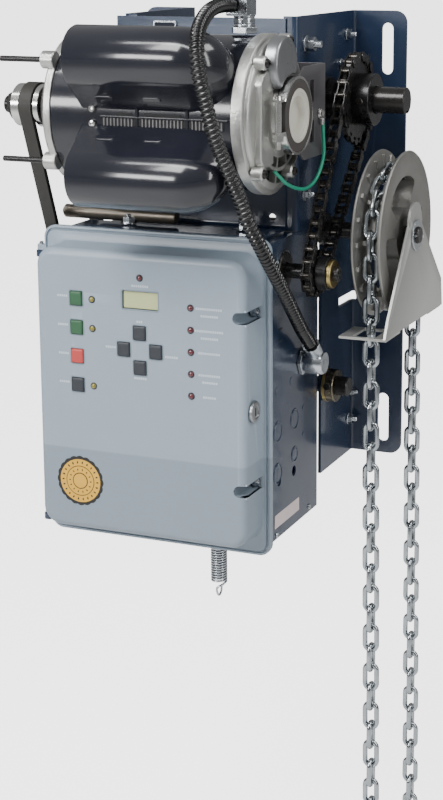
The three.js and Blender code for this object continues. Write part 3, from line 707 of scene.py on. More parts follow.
def cover_loops():
    """The cover from its back rim, over a groove, up the dome and round onto its face."""
    back, front = COVER_BACK, RIM_FRONT
    steps = [
        (RIM, 3, back, 10), (RIM, 0.4, back, 12), (RIM, 0, back - 0.5, 12), (RIM, 0, front + 0.9, 12),
        (RIM, 0.4, front + 0.2, 11.6), (RIM, 1, front, 11), (RIM, 2.2, front, 10),
        (RIM, 2.7, front + 1.6, 9.6), (RIM, 4.2, front + 1.6, 9), (RIM, 4.7, front - 0.9, 9),
        (RIM, 5.6, front - 1.1, 9), (DOME, -1.4, front - 1.1, 19), (DOME, -0.2, front - 2, 18),
        (DOME, 0.5, front - 6, 18),
    ]
    start, edge = 0.9, 7.0
    for i in range(9):
        turn = math.radians(90 * i / 8)
        inset = start + edge * (1 - math.cos(turn))
        steps.append((DOME, inset, FACE + edge * (1 - math.sin(turn)), 17.5 - 0.9 * (inset - start)))
    steps.append((DOME, start + edge + 0.8, FACE, 10))
    return [(grown(box, -inset, radius, 10), y) for box, inset, y, radius in steps]


def cover_cutters():
    """The hollow, the windows for the buttons and the display, the screw recesses and the lock hole."""
    hollow = bmesh.new()
    inside = [(3.4, COVER_BACK + 0.5, 15), (3.4, FACE + 12, 15), (10, FACE + 3, 8)]
    layered(hollow, "y", [(grown(DOME, -inset, radius, 10), y) for inset, y, radius in inside])
    cutters = [hollow]
    windows = [grown(key_box(x, z), 0.4, 1.2) for _, x, z, _ in BUTTONS] + [grown(DISPLAY, 0, 1)]
    scoops = [scoop_outline(z, SCOOP["half"], 3) for z in COVER_SCREWS]
    for outlines, back in ((windows, FACE + 5), (scoops, RIM_FRONT - 1.2)):
        for outline in outlines:
            cutter = bmesh.new()
            slab(cutter, "y", outline, FACE - 5, back)
            cutters.append(cutter)
    lock_hole = bmesh.new()
    bar(lock_hole, "x", 8, -22, 4, LATCH)
    return cutters + [lock_hole]


def add_cover():
    bm = bmesh.new()
    layered(bm, "y", cover_loops())
    piece = emit("cover_shell", bm, "grey_cover", "front_cover", "cover", crease=40)
    carve(piece, *cover_cutters(), crease=40)
    soften(piece, 0.6, 3, 50)

    wells, heads = bmesh.new(), bmesh.new()
    front = RIM_FRONT - 1
    for z in COVER_SCREWS:
        inner, outer = [scoop_outline(z, SCOOP["half"] + wall, DOME[1] - 0.9) for wall in (0, 2)]
        slab(wells, "y", inner + outer[::-1], FACE + 2.4, front)
        screw(heads, (SCREW_X, front - 0.1, z), (0, -1, 0), 4.4, 4)
        washer = [(4.5, front), (5.2, front), (5.2, front - 1.2), (4.5, front - 1.2)]
        turned(heads, "y", washer, (SCREW_X, z), 28, ring=True)
    emit("screw_wells", wells, "grey_cover", "front_cover")
    emit("cover_screws", heads, "zinc", "front_cover")

    lugs, pins = bmesh.new(), bmesh.new()
    for base in HINGE["bases"]:
        bar(lugs, "z", 4, base + 0.3, base + 6, HINGE["place"], 28, 0.5)
        brick(lugs, HINGE["place"][0], RIM[0] + 1, -226.8, COVER_BACK - 0.1, base + 0.5, base + 5.8)
        bar(pins, "z", 2, base - 7, base + 8.5, HINGE["place"], 20, 0.6)
    emit("cover_lugs", lugs, "grey_cover", "front_cover", bevel=0.4)
    emit("hinge_pins", pins, "zinc")
    refined("keypad_board", "board", bevel=0.2)


def add_buttons():
    frames = bmesh.new()
    steps = [(0.15, -258.2), (0.15, FACE - 0.9), (0.7, FACE - 1.6), (1.8, FACE - 1.9), (4.5, FACE - 1.55)]
    for name, x, z, finish in BUTTONS:
        bm = bmesh.new()
        box = key_box(x, z)
        layered(bm, "y", [(grown(box, -inset, max(0.4, 1.6 - inset / 3)), y) for inset, y in steps])
        emit(name + "_cap", bm, finish, name, name, crease=50)
        border(frames, "y", grown(box, 1.2, 1.8), grown(box, 0.3, 1.2), FACE + 0.4, FACE - 0.35, FACE + 0.4)
    emit("button_frames", frames, "ink_grey", "front_cover", slot="grey_cover", bevel=0.15)


def add_display():
    glass = bmesh.new()
    slab(glass, "y", grown(DISPLAY, -0.8, 0.8), FACE + 1.6, FACE + 2.3)
    emit("display_glass", glass, "display", "front_cover", bevel=0.2)
    rim = bmesh.new()
    border(rim, "y", grown(DISPLAY, 1.2, 1.6), grown(DISPLAY, -0.1, 0.9), FACE + 0.5, FACE - 0.35, FACE + 3)
    emit("display_frame", rim, "ink_grey", "front_cover", bevel=0.3)


def add_lamps():
    amber, red, sockets = bmesh.new(), bmesh.new(), bmesh.new()
    beside = COLUMN_X + 16.4
    lamps = [(amber, beside, z) for z in (-175.2, -202.7, -257.7)]
    lamps += [(red, -112.2, -151.4), *[(red, -61.5, z) for z in LAMP_COLUMN]]
    lens = [(2.5, 0.5), (2.5, -0.6), (2.1, -1.4), (1.2, -1.9), (0.2, -2.05)]
    socket = [(2.5, 0.3), (3.6, 0.3), (3.4, -0.25), (2.5, -0.25)]
    for bm, x, z in lamps:
        turned(bm, "y", [(r, FACE + y) for r, y in lens], (x, z), 24)
        turned(sockets, "y", [(r, FACE + y) for r, y in socket], (x, z), 28, ring=True)
    emit("amber_lamps", amber, "amber_lamp", "front_cover")
    emit("red_lamps", red, "red_lamp", "front_cover")
    emit("lamp_sockets", sockets, "dark_button", "front_cover")


def add_seal():
    """A plain round sticker with a scalloped edge and rings, without words."""
    centre, r = (-178.6, -352.2), 23.5
    lobes, steps = 20, 160
    degrees = [360 * i / steps for i in range(steps)]
    lifted = [1 + 0.045 * abs(math.cos(math.radians(lobes * turn / 2))) for turn in degrees]
    scallops = [polar(centre, r * share, turn) for share, turn in zip(lifted, degrees)]
    layers = [("edge", "black_ink", scallops, 0.15)]
    layers += [(name, finish, circle(r * share, steps, centre), height) for name, finish, share, height in (
        ("rim", "gold_ink", 0.9, 0.25), ("line", "black_ink", 0.63, 0.33), ("face", "gold_ink", 0.6, 0.41),
        ("middle", "black_ink", 0.34, 0.49), ("dot", "gold_ink", 0.3, 0.57))]
    for name, finish, outline, height in layers:
        bm = bmesh.new()
        slab(bm, "y", outline, FACE - height, FACE + 0.1)
        emit("seal_" + name, bm, finish, "front_cover")
    marks = bmesh.new()
    for share, count, size in ((0.77, 22, 1.5), (0.47, 14, 1.3)):
        for i, middle in enumerate(circle(r * share, count, centre)):
            reaches = (size, 0.55 * size, size, 0.55 * size)
            diamond = [polar(middle, reach, 360 * i / count + 90 * k) for k, reach in enumerate(reaches)]
            slab(marks, "y", diamond, FACE - 0.52, FACE + 0.1)
    emit("seal_marks", marks, "black_ink", "front_cover")


def add_legends():
    """Rows of plain marks where a keypad has words."""
    x, z = CROSS
    places = [(COLUMN_X - 14.5, high, 11) for high in (-173.6, -201.1, -228.6, -256.1)]
    places += [(-112.2, -159, 17), (x, z + 27, 6), (x, z - 26.5, 13), (x - 30, z + 1, 10)]
    places.append((x + 32, z - 3.5, 14))
    places += [(-43.5, high, wide) for high, wide in zip(LAMP_COLUMN, (26, 28, 22, 23, 14))]
    places += [(-43, LAMP_COLUMN[row] - 6.6, wide) for row, wide in ((0, 17), (1, 17), (3, 15))]
    bars = bmesh.new()
    pitch = 2.2
    for x, z, wide in places:
        count = round(wide / pitch)
        for i in range(count):
            middle = x + pitch * (i - (count - 1) / 2)
            slab(bars, "y", grown((middle, middle, z - 0.3, z + 0.3), 0.75, 0.4, 3), FACE - 0.12, FACE + 0.1)
    emit("legend_bars", bars, "ink", "front_cover")


def add_lock():
    bm = bmesh.new()
    y, z = LATCH
    barrel = [(7.6, -24), (7.6, -6.6), (10.4, -6.6), (10.4, -5), (9.6, -4.2), (6.6, -4), (6.4, -4.8),
              (0.2, -4.8)]
    turned(bm, "x", barrel, LATCH, 48)
    brick(bm, -17.4, -15.4, y - 5, y + 5, z - 34, z + 5)
    brick(bm, -15.4, -11, y - 5, y + 5, z - 34, z - 31)
    emit("lock_barrel", bm, "cap_steel", "cover_lock", "cover_lock", bevel=0.2)
    # Painted shade: a flat near-black shape on the barrel's face stands for the shadowed keyway.
    slot = bmesh.new()
    slab(slot, "x", grown((y, y, z - 3.2, z + 3.2), 0.8, 0.7), -5, -4.6)
    emit("lock_keyway_shade", slot, "gap_shade", "cover_lock")


def add_keypad():
    add_buttons()
    add_display()
    add_lamps()
    add_seal()
    add_legends()
    add_lock()


# ---- motor ----
CAN = {"place": (-77, 51.5), "r": 28, "left": -147, "shoulder": -45, "right": -4}
STUDS = [(-55, 46.6), (-55, -43.5)]
SHELL_R = 68.6


def beside_motor(y, z):
    """A place given from the motor's axis."""
    return (MOTOR[0] + y, MOTOR[1] + z)


def add_motor_turned(name, profile, finish, body="machine", node=None, steps=96, ring=True):
    return emit_turned(name, MOTOR, profile, finish, body, node, steps, ring)


def can_section(side, share):
    """A capacitor cover's cross section: round outside, with flanks that run down into the shell."""
    points = arc(CAN["place"], CAN["r"], 75.6, 237.6, 48) + [(-67, 5), (-40, 30), (-40, 66)]
    y0, z0 = -62, 42
    return [beside_motor(y0 + (y - y0) * share, side * (z0 + (z - z0) * share)) for y, z in points]


def add_capacitor_cover(side, name):
    left, shoulder = CAN["left"], CAN["shoulder"]
    reach = CAN["right"] - shoulder
    stations = [(left, 0.93), (left + 0.8, 0.975), (left + 2.6, 1.0), (shoulder - 2, 1.0)]
    for i in range(1, 16):
        turn = math.radians(90 * i / 16)
        stations.append((shoulder + reach * math.sin(turn), math.cos(turn) ** 0.85))
    bm = bmesh.new()
    layered(bm, "x", [(can_section(side, share), x) for x, share in stations])
    piece = emit(name + "_skin", bm, "dark_paint", node=name, crease=50)
    shell = bmesh.new()
    bar(shell, "x", SHELL_R, -400, 100, MOTOR, 96)
    carve(piece, shell)


def sector(low, high, near, far):
    """A piece of a ring about the motor's axis."""
    return arc(MOTOR, far, low, high, 8) + arc(MOTOR, near, high, low, 8)


def add_left_bell():
    profile = [(9.5, -199), (28, -199), (29, -198), (30.5, -190.6), (33, -189.6), (61, -188.5), (68, -186.4),
               (70, -184.2), (70, -178.6), (69.4, -178), (66, -178), (60, -182), (9.5, -184)]
    add_motor_turned("left_bell_skin", profile, "cast_aluminium", node="end_bell_left")
    ears = bmesh.new()
    for place in STUDS:
        bar(ears, "x", 8, -191, -178, beside_motor(*place), 32, 0.8)
    emit("left_bell_ears", ears, "cast_aluminium")


def add_right_bell():
    profile = [(9.5, 22.5), (30, 22.5), (32, 21.6), (33, 15), (34.5, 14), (60, 12.6), (65.4, 10.8),
               (66.6, 9.4), (67, 7.8), (70, 7.2), (71, 6.2), (71, -2.9), (70.4, -3.5), (66.5, -3.5), (58, 7),
               (9.5, 9)]
    bell = add_motor_turned("right_bell_skin", profile, "cast_aluminium", node="end_bell_right")
    cutters = []
    for low, high in ((-124, -100), (-96, -72), (-68, -44)):
        for near, far in ((37.5, 46.5), (49.5, 60.5)):
            cutter = bmesh.new()
            slab(cutter, "x", sector(low, high, near, far), 2, 24)
            cutters.append(cutter)
    carve(bell, *cutters)

    pad = bmesh.new()
    outline = [(-54, 30), (-49, 37), (-40, 41), (-26, 43), (-26, -40), (-38, -42), (-50, -40), (-54, -34)]
    slab(pad, "x", [beside_motor(*place) for place in outline], 11, 18.6)
    emit("bell_pad", pad, "cast_aluminium", bevel=1.6)
    ears, screws = bmesh.new(), bmesh.new()
    for place in ((-43, 48), (12, 64), (-50, -46), (20, -52)):
        bar(ears, "x", 6.4, 8, 19, beside_motor(*place), 28, 1.2)
        screw(screws, (18.6, *beside_motor(*place)), (1, 0, 0), 4, 3)
    emit("bell_ears", ears, "cast_aluminium")
    emit("bell_screws", screws, "black_steel")
    emit_turned("winding_shadow", MOTOR, [(20, -3), (64, -3), (64, -1), (20, -1)], "gap_shade")

    cap = [(0.2, 14.3), (25, 14.3), (25, 22.4), (24.4, 24.6), (23, 25.8), (21, 26), (0.2, 26)]
    centre = beside_motor(-12, 45)
    piece = emit_turned("bell_cap_skin", centre, cap, "cap_steel", "machine", "bell_cap", 72, False)
    bite = bmesh.new()
    bar(bite, "x", 37, 0, 40, MOTOR, 72)
    carve(piece, bite)


def add_mounts():
    for node, x0, x1 in (("mount_ring_right", 23, 32), ("mount_ring_left", -209, -200)):
        profile = [(24.3, x0), (31.2, x0), (32, x0 + 0.8), (32, x1 - 0.8), (31.2, x1), (29, x1 - 0.6),
                   (27, x1), (24.3, x1)]
        add_motor_turned(node + "_skin", profile, "ring_rubber", node=node)
    cap = [(0.2, 23), (24, 23), (24, 31.6), (23.4, 32.4), (20.6, 32.5), (19.6, 31.2), (17.4, 31),
           (16.6, 30.2), (15.6, 25), (14.6, 24.4), (0.2, 24.2)]
    add_motor_turned("bearing_cap_skin", cap, "cream_plastic", node="bearing_cap", ring=False)
    refined("ring_clamp", "machined", bevel=0.3)


def add_rotor():
    rotor = [(0.2, -262), (7.4, -262), (8, -261.4), (8, -160), (36, -150), (36, -50), (8, -40), (8, 19),
             (0.2, 19)]
    add_motor_turned("rotor_skin", rotor, "black_steel", "motor_rotor", "rotor", ring=False)
    pulley = [(8.3, -248), (19.4, -248), (20, -247.4), (20, -239.6), (19.5, -239), (14, -236.4), (14, -227.6),
              (19.5, -225), (20, -224.4), (20, -219.6), (19.4, -219), (8.3, -219)]
    add_motor_turned("motor_pulley_skin", pulley, "machined", "motor_rotor", "motor_pulley")
    nut = bmesh.new()
    slab(nut, "x", hexagon(24, 12, MOTOR), -256, -248)
    emit("pulley_nut", nut, "black_steel", "motor_rotor", bevel=0.8)


def add_studs():
    studs = bmesh.new()
    for place in STUDS:
        bar(studs, "x", 2.6, -235, -190, beside_motor(*place), 20, 0.5)
        bar(studs, "x", 4.2, -193.4, -190.5, beside_motor(*place), 20, 0.8)
    emit("motor_studs", studs, "black_steel", bevel=0.2)


def add_shell_details():
    y, z = beside_motor(-69, 0)
    screws, rails, fins, dark = bmesh.new(), bmesh.new(), bmesh.new(), bmesh.new()
    for side in (1, -1):
        screw(screws, (-135.5, y, z + 6.4 * side), (0, -1, 0.1 * side), 3.6, 2.6)
    emit("motor_screws", screws, "machined")

    brick(rails, -128, -6, y - 1.6, y + 2, z - 0.7, z + 0.7)
    posts = (-92, -44)
    for x in posts:
        brick(rails, x - 1.2, x + 1.2, y - 1.4, y + 2, z - 9, z + 9)
    for x in [-124 + 3.4 * i for i in range(34)]:
        if all(abs(x - post) > 2.6 for post in posts):
            brick(fins, x - 0.75, x + 0.75, y - 1, y + 2.4, z - 8.6, z - 1)
    # Painted shade: near-black strips stand for the shadow inside two openings above the rail and between the
    # fins below it.
    for x0, x1 in ((-112, -97), (-85, -50)):
        brick(dark, x0, x1, y - 0.5, y + 1, z + 1.4, z + 3.6)
    brick(dark, -126, -10, y - 0.3, y + 1, z - 8.6, z - 1)
    emit("shell_rails", rails, "dark_paint", bevel=0.4)
    emit("shell_fins", fins, "cradle_steel", bevel=0.25)
    emit("shell_opening_shade", dark, "gap_shade")

    louvre = grown((-6, 6, 0, 0), 3, 2.8, 6)
    for name, side in (("louvres_upper", 1), ("louvres_lower", -1)):
        louvres = bmesh.new()
        for x in (-118, -72):
            place = (x, *beside_motor(-80, side * 17.6))
            facing(louvres, lambda part: slab(part, "z", louvre, -1, 1.5), place, (0, -0.675, -0.737 * side))
        emit(name, louvres, "dark_paint", bevel=1.1)


def add_ground_lug():
    y, z = -177, -4.5
    lug = bmesh.new()
    turned(lug, "x", [(2.4, 28.7), (5, 28.7), (5, 29.7), (2.4, 29.7)], (y, z), 32, ring=True)
    bar(lug, "z", 2.1, -15, -8.6, (31, y), 20, 0.3)
    brick(lug, 28.8, 30.2, y - 1.8, y + 1.8, -11.5, -8.2)
    bolt(lug, (29.6, y, z), (1, 0, 0), 5.4, 1.2, 0, 1, 3.6)
    emit("ground_lug", lug, "machined", bevel=0.15)


def add_motor():
    shell = [(66.5, -177.7), (SHELL_R, -177.7), (69, -177.3), (69, -4.2), (SHELL_R, -3.8), (66.5, -3.8)]
    add_motor_turned("shell_skin", shell, "dark_paint", node="motor_shell", steps=128)
    add_capacitor_cover(1, "capacitor_cover_upper")
    add_capacitor_cover(-1, "capacitor_cover_lower")
    add_left_bell()
    add_right_bell()
    add_mounts()
    add_rotor()
    add_studs()
    add_shell_details()
    add_ground_lug()


# ---- shafts, sprockets and bearings ----
def toothed(bm, size, x, centre):
    """A sprocket's disc, with its teeth standing between the chain's rollers."""
    half, seat, height, tip = 2.6, 4.05, 3.4, 45.378
    teeth = TEETH[size]
    outline = []
    for i in range(teeth):
        middle = 360 * i / teeth
        outline += arc(polar(centre, PITCH_R[size], middle), seat, middle + 118, middle + 242, 6)
        for side in (-1, 1):
            outline.append(polar(centre, PITCH_R[size] + height, middle + (180 + side * tip) / teeth))
    slab(bm, "x", outline, x - half, x + half)


def add_sprocket(name, wheels, hub, centre, body, node, steps=64, bevel=0.25):
    """Toothed discs, each given as (size, x), on one hub."""
    bm = bmesh.new()
    for size, x in wheels:
        toothed(bm, size, x, centre)
    turned(bm, "x", hub, centre, steps, ring=True)
    emit(name, bm, "black_steel", body, node, bevel=bevel)


def add_output():
    body = "output"
    profile = [(0.2, -196), (12, -196), (12.7, -195.3), (12.7, 80.2), (11.9, 81), (0.2, 81)]
    piece = emit_turned("output_shaft_skin", OUTPUT, profile, "black_steel", body, "output_shaft", 72, False)
    key = bmesh.new()
    brick(key, -190, 90, OUTPUT[0] - 3.2, OUTPUT[0] + 3.2, -20, -9.5)
    carve(piece, key)

    bearing = [(13, -8), (16.3, -8), (16.3, 0.3), (21, 0.3), (21, 3.4), (19.6, 4), (18.4, 4), (18.4, 11),
               (17.6, 12), (13, 12)]
    for node, start, side in (("output_bearing_right", 0, 1), ("output_bearing_left", -178, -1)):
        profile = [(r, start + side * x) for r, x in bearing]
        emit_turned(node + "_skin", OUTPUT, profile, "black_steel", node=node)

    hub = [(13, 30), (24.2, 30), (24.6, 33), (25, 34), (25, 49.2), (24.2, 50), (13.6, 50), (13, 49.4)]
    add_sprocket("output_sprocket_skin", [("output", CHAIN_X)], hub, OUTPUT, body, "output_sprocket", 72)
    grub = bmesh.new()
    set_screw(grub, (41, OUTPUT[0] - 24.6, OUTPUT[1]), (0, -1, 0), 3.6, 0.8, 20, 0.3)
    emit("hub_set_screw", grub, "roller_steel", body)
    hub = [(13, -124), (22, -124), (22, -102.6), (21.4, -102), (13, -102)]
    wheels = [("large", STAGE_X["second"])]
    add_sprocket("drive_sprocket_skin", wheels, hub, OUTPUT, body, "output_drive_sprocket")


def add_first_stage():
    body = "first_reduction"
    shaft = [(0.2, -242), (8, -242), (8, 3), (9.5, 3), (9.5, 25.2), (8.8, 26), (0.2, 26)]
    emit_turned("first_shaft_skin", FIRST, shaft, "black_steel", body, "first_shaft", 56, False)
    collar = [(9.8, 1.8), (15.8, 1.8), (16.5, 2.5), (16.5, 13.3), (15.8, 14), (9.8, 14)]
    emit_turned("collar_skin", FIRST, collar, "collar_steel", body, "shaft_collar")
    band = [(16.45, 2.3), (16.75, 2.4), (16.75, 5.2), (16.45, 5.3)]
    emit_turned("collar_band", FIRST, band, "yellow_zinc", body)
    grub = bmesh.new()
    set_screw(grub, (8, FIRST[0] - 16.2, FIRST[1] + 2), (0, -1, 0.12), 3.4, 0.5, 24, 0.2)
    emit("collar_set_screw", grub, "black_steel", body)
    pulley = [(8.3, -242), (16, -242), (17, -235), (50, -235), (51, -241.4), (51.6, -242), (63.4, -242),
              (64, -241.4), (64, -239.4), (56, -236), (56, -228), (64, -224.6), (64, -222.6), (63.4, -222),
              (51.6, -222), (51, -222.6), (50, -229), (17, -229), (16, -214), (8.3, -214)]
    emit_turned("driven_pulley_skin", FIRST, pulley, "cast_aluminium", body, "driven_pulley", 96)
    hub = [(8.3, -166), (12, -166), (12, -150), (8.3, -150)]
    wheels = [("small", STAGE_X["first"])]
    add_sprocket("first_sprocket_skin", wheels, hub, FIRST, body, "first_sprocket", 48, 0.2)


def add_second_stage():
    body = "second_reduction"
    shaft = [(0.2, -188), (8, -188), (8, 100), (7.2, 101), (0.2, 101)]
    emit_turned("second_shaft_skin", SECOND, shaft, "black_steel", body, "second_shaft", 56, False)
    cotter = bmesh.new()
    bent = [(99.6, -12, 1), (99.6, 0, 0), (99.6, 10, -1), (99.4, 12.5, -4)]
    tube(cotter, smooth_path([(x, SECOND[0] + y, SECOND[1] + z) for x, y, z in bent], 1), 1.1, 10)
    emit("cotter_pin", cotter, "zinc", body)
    hub = [(8.3, -150), (12, -150), (12, -124), (8.3, -124)]
    wheels = [("large", STAGE_X["first"]), ("small", STAGE_X["second"])]
    add_sprocket("reduction_sprocket_skin", wheels, hub, SECOND, body, "reduction_sprocket", 48, 0.2)
    bearing = [(8.3, 0.3), (15.4, 0.3), (16, 0.9), (16, 5), (15, 6), (8.3, 6)]
    emit_turned("axle_bearing_skin", SECOND, bearing, "black_steel", "machine", "axle_bearing", 56)
    washer = [(8.3, 96.5), (14.7, 96.5), (15, 96.8), (15, 98.1), (14.7, 98.4), (8.3, 98.4)]
    emit_turned("axle_washer_skin", SECOND, washer, "zinc", body, "axle_washer", 56)


def add_limit():
    body = "limit_drive"
    thread = [place for i in range(60) for place in ((6.4, -92 + 1.4 * i), (7, -91.3 + 1.4 * i))]
    shaft = [(0.2, -96), (6.4, -96), *thread, (7, -7), (7, 54), (6.2, 55), (0.2, 55)]
    emit_turned("limit_shaft_skin", LIMIT, shaft, "black_steel", body, "limit_shaft", 40, False)
    hub = [(7.3, 30), (13, 30), (13, 35.8), (15, 35.8), (15.5, 36.4), (15.5, 45.4), (14.8, 46), (7.3, 46)]
    add_sprocket("limit_sprocket_skin", [("small", CHAIN_X)], hub, LIMIT, body, "limit_sprocket", bevel=0.2)
    thrust = [(7.3, 46), (12.8, 46), (13.2, 46.5), (13.2, 49.4), (12.6, 50), (7.3, 50)]
    emit_turned("thrust_ring", LIMIT, thrust, "yellow_zinc", body)
    for node, x in (("limit_nut_open", -36), ("limit_nut_close", -72)):
        nut, bore = bmesh.new(), bmesh.new()
        notched = [polar(LIMIT, 13.1 if i % 8 < 3 else 14, 360 * i / 96) for i in range(96)]
        slab(nut, "x", notched, x - 4, x + 4)
        piece = emit(node + "_skin", nut, "cream_plastic", node, node)
        bar(bore, "x", 7.3, x - 9, x + 9, LIMIT)
        carve(piece, bore)
        soften(piece, 0.3)


def add_shafts():
    add_output()
    add_first_stage()
    add_second_stage()
    add_limit()


# ---- chains and the belt ----
def tangent_loop(a, ra, b, rb, count):
    """count places spread evenly round a loop over two wheels, each with its direction in degrees, and
    the length of the loop."""
    along = math.degrees(math.atan2(b[1] - a[1], b[0] - a[0]))
    open_angle = math.acos((ra - rb) / math.dist(a, b))
    straight = math.dist(a, b) * math.sin(open_angle)
    arc_a, arc_b = 2 * (math.pi - open_angle) * ra, 2 * open_angle * rb
    total = 2 * straight + arc_a + arc_b
    turn = math.degrees(open_angle)
    places = []
    for s in [total * i / count for i in range(count)]:
        if s < arc_a + straight:
            centre, radius, first, bent = a, ra, along + turn, arc_a
        else:
            s -= arc_a + straight
            centre, radius, first, bent = b, rb, along - turn, arc_b
        angle = first + math.degrees(min(s, bent) / radius)
        place = polar(centre, radius, angle)
        places.append((polar(place, max(0, s - bent), angle + 90), angle + 90))
    return places, total


def link_outline(a, b, end, waist):
    """A chain plate's outline round two pins, in the plane of the chain."""
    way = math.degrees(math.atan2(b[1] - a[1], b[0] - a[0]))
    middle = ((a[0] + b[0]) / 2, (a[1] + b[1]) / 2)
    points = []
    for centre, first in ((b, way - 90), (a, way + 90)):
        points += arc(centre, end, first, first + 180, 8) + [polar(middle, waist, first + 180)]
    return points


def add_roller_chain(name, node, wheels, x, master=None):
    """A roller chain over two sprockets, each given as (centre, size). The link whose number is
    master is a yellow one."""
    (a, size_a), (b, size_b) = wheels
    loop = (a, PITCH_R[size_a], b, PITCH_R[size_b])
    count = 2 * round(tangent_loop(*loop, 1)[1] / PITCH / 2)
    pins = [place for place, _ in tangent_loop(*loop, count)[0]]
    plates, rollers, marked = bmesh.new(), bmesh.new(), bmesh.new()
    for i, pin in enumerate(pins):
        target = marked if i == master else plates
        near = 2.9 if i % 2 else 4.2
        for low in (x - near - 1, x + near):
            slab(target, "x", link_outline(pin, pins[(i + 1) % count], 4.6, 3.3), low, low + 1)
        bar(rollers, "x", 3.9, x - 2.8, x + 2.8, pin, 16, 0.3)
        bar(rollers, "x", 1.8, x - 5.5, x + 5.5, pin, 12, 0.3)
    emit(name + "_plates", plates, "black_steel", node=node, bevel=0.15)
    emit(name + "_rollers", rollers, "roller_steel", slot="black_steel")
    if marked.verts:
        emit(name + "_master_link", marked, "yellow_zinc", slot="black_steel", bevel=0.15)


def add_belt():
    section = [(-5, -3.6), (5, -3.6), (6.3, 2.8), (6.3, 3.6), (-6.3, 3.6), (-6.3, 2.8)]
    loops = []
    for place, way in tangent_loop(MOTOR, BELT_R["motor"], FIRST, BELT_R["driven"], 260)[0]:
        loops.append([(BELT_X + u, *polar(place, v, way - 90)) for u, v in section])
    bm = bmesh.new()
    skin(bm, loops, ring=True)
    emit("belt_skin", bm, "belt", node="v_belt", crease=40)


def add_chains():
    side = [(OUTPUT, "output"), (LIMIT, "small")]
    first = [(SECOND, "large"), (FIRST, "small")]
    second = [(OUTPUT, "large"), (SECOND, "small")]
    add_roller_chain("side_chain", "roller_chain", side, CHAIN_X, MASTER_LINK)
    add_roller_chain("first_chain", "first_stage_chain", first, STAGE_X["first"])
    add_roller_chain("second_chain", "second_stage_chain", second, STAGE_X["second"])
    add_belt()


def add_hand_chain():
    """Round links, every other one turned, hanging a little aslant as the real chain does."""
    wire, half, wide, count = 2.5, 12.65, 6.0, 86
    stretch = half - wide
    oval = [(u + (stretch if u >= 0 else -stretch), v) for u, v in circle(wide, 28)]
    bm = bmesh.new()
    loop = tangent_loop(SECOND, WHEEL["chain"], (SECOND[0], CHAIN_LOW), WHEEL["chain"], count)[0]
    for i, ((y, z), way) in enumerate(loop):
        tangent = Vector((0, *polar((0, 0), 1, way)))
        across = Vector((1, 0, 0)) if i % 2 else Vector((0, *polar((0, 0), 1, way - 90)))
        middle = Vector((WHEEL["x"] + CHAIN_LEAN * max(0, SECOND[1] - z), y, z))
        tube(bm, [middle + tangent * u + across * v for u, v in oval], wire, 10, ring=True)
    emit("hand_chain_links", bm, "chain_zinc", node="hand_chain", crease=80)


# ---- hand wheel ----
WINDOW = {"near": 24, "far": 56, "half": 43, "corner": 5, "turns": (100, 220, 340)}


def window_corner(degrees, radius, side, first):
    """A round corner of a window, whose circle touches the window's side and its inner or outer edge."""
    corner = WINDOW["corner"]
    out = radius + (corner if radius == WINDOW["near"] else -corner)
    turn = degrees + side * (WINDOW["half"] - math.degrees(math.asin(corner / out)))
    return arc(polar(SECOND, out, turn), corner, turn + first, turn + first + 90, 6)


def spoke_window(degrees):
    """One of the wheel's openings between its spokes, with round corners."""
    near, far, half = WINDOW["near"], WINDOW["far"], WINDOW["half"]
    points = window_corner(degrees, far, 1, 0) + window_corner(degrees, near, 1, 90)
    points += arc(SECOND, near, degrees + half - 14, degrees - half + 14, 8)[1:-1]
    points += window_corner(degrees, near, -1, 180) + window_corner(degrees, far, -1, 270)
    return points + arc(SECOND, far, degrees - half + 7, degrees + half - 7, 12)[1:-1]


def add_wheel():
    left, right, r, x = WHEEL["left"], WHEEL["right"], WHEEL["r"], WHEEL["x"]
    profile = [
        (8.3, left - 5), (14, left - 5), (15, left - 4), (16, left + 4), (50, left + 6), (60, left + 2.4),
        (r - 4, left), (r - 1, left + 0.6), (r, left + 1.8), (r - 0.5, left + 3.2), (r - 8, left + 5.4),
        (57.5, x - 7), (56, x - 5), (55.4, x), (56, x + 5), (57.5, x + 7), (r - 8, right - 5.4),
        (r - 0.5, right - 3.2), (r, right - 1.8), (r - 1, right - 0.6), (r - 4, right), (66, right - 0.6),
        (60, right - 1.6), (50, right - 3), (20, right - 2.6), (16, right - 1.2), (14.6, right - 1),
        (8.3, right - 1),
    ]
    bm = bmesh.new()
    turned(bm, "x", profile, SECOND, 128, ring=True)
    piece = emit("wheel_cast", bm, "wheel_cast", "hand_wheel", "hand_wheel", crease=32)
    cutters = [bmesh.new() for _ in WINDOW["turns"]]
    for cutter, degrees in zip(cutters, WINDOW["turns"]):
        slab(cutter, "x", spoke_window(degrees), 30, 120)
    carve(piece, *cutters)
    soften(piece, 0.9, 3, 50)

    ribs = bmesh.new()
    for turn in [18 * i for i in range(20)]:
        for x0, x1, reach in ((x - 9.6, x - 4.4, 63), (x + 4.4, x + 9.6, 63), (left + 4, x - 8.5, 76)):
            corners = [(56, 3.4), (reach, 2.2), (reach, -2.2), (56, -3.4)]
            outline = [polar(polar(SECOND, out, turn), across, turn + 90) for out, across in corners]
            slab(ribs, "x", outline, x0, x1)
    emit("wheel_pocket_ribs", ribs, "wheel_cast", "hand_wheel", slot="cast_aluminium", bevel=0.6)


# ---- connectors, spring and eye ----
TOP = (-20, -236)
BOTTOM = (-147, -246)


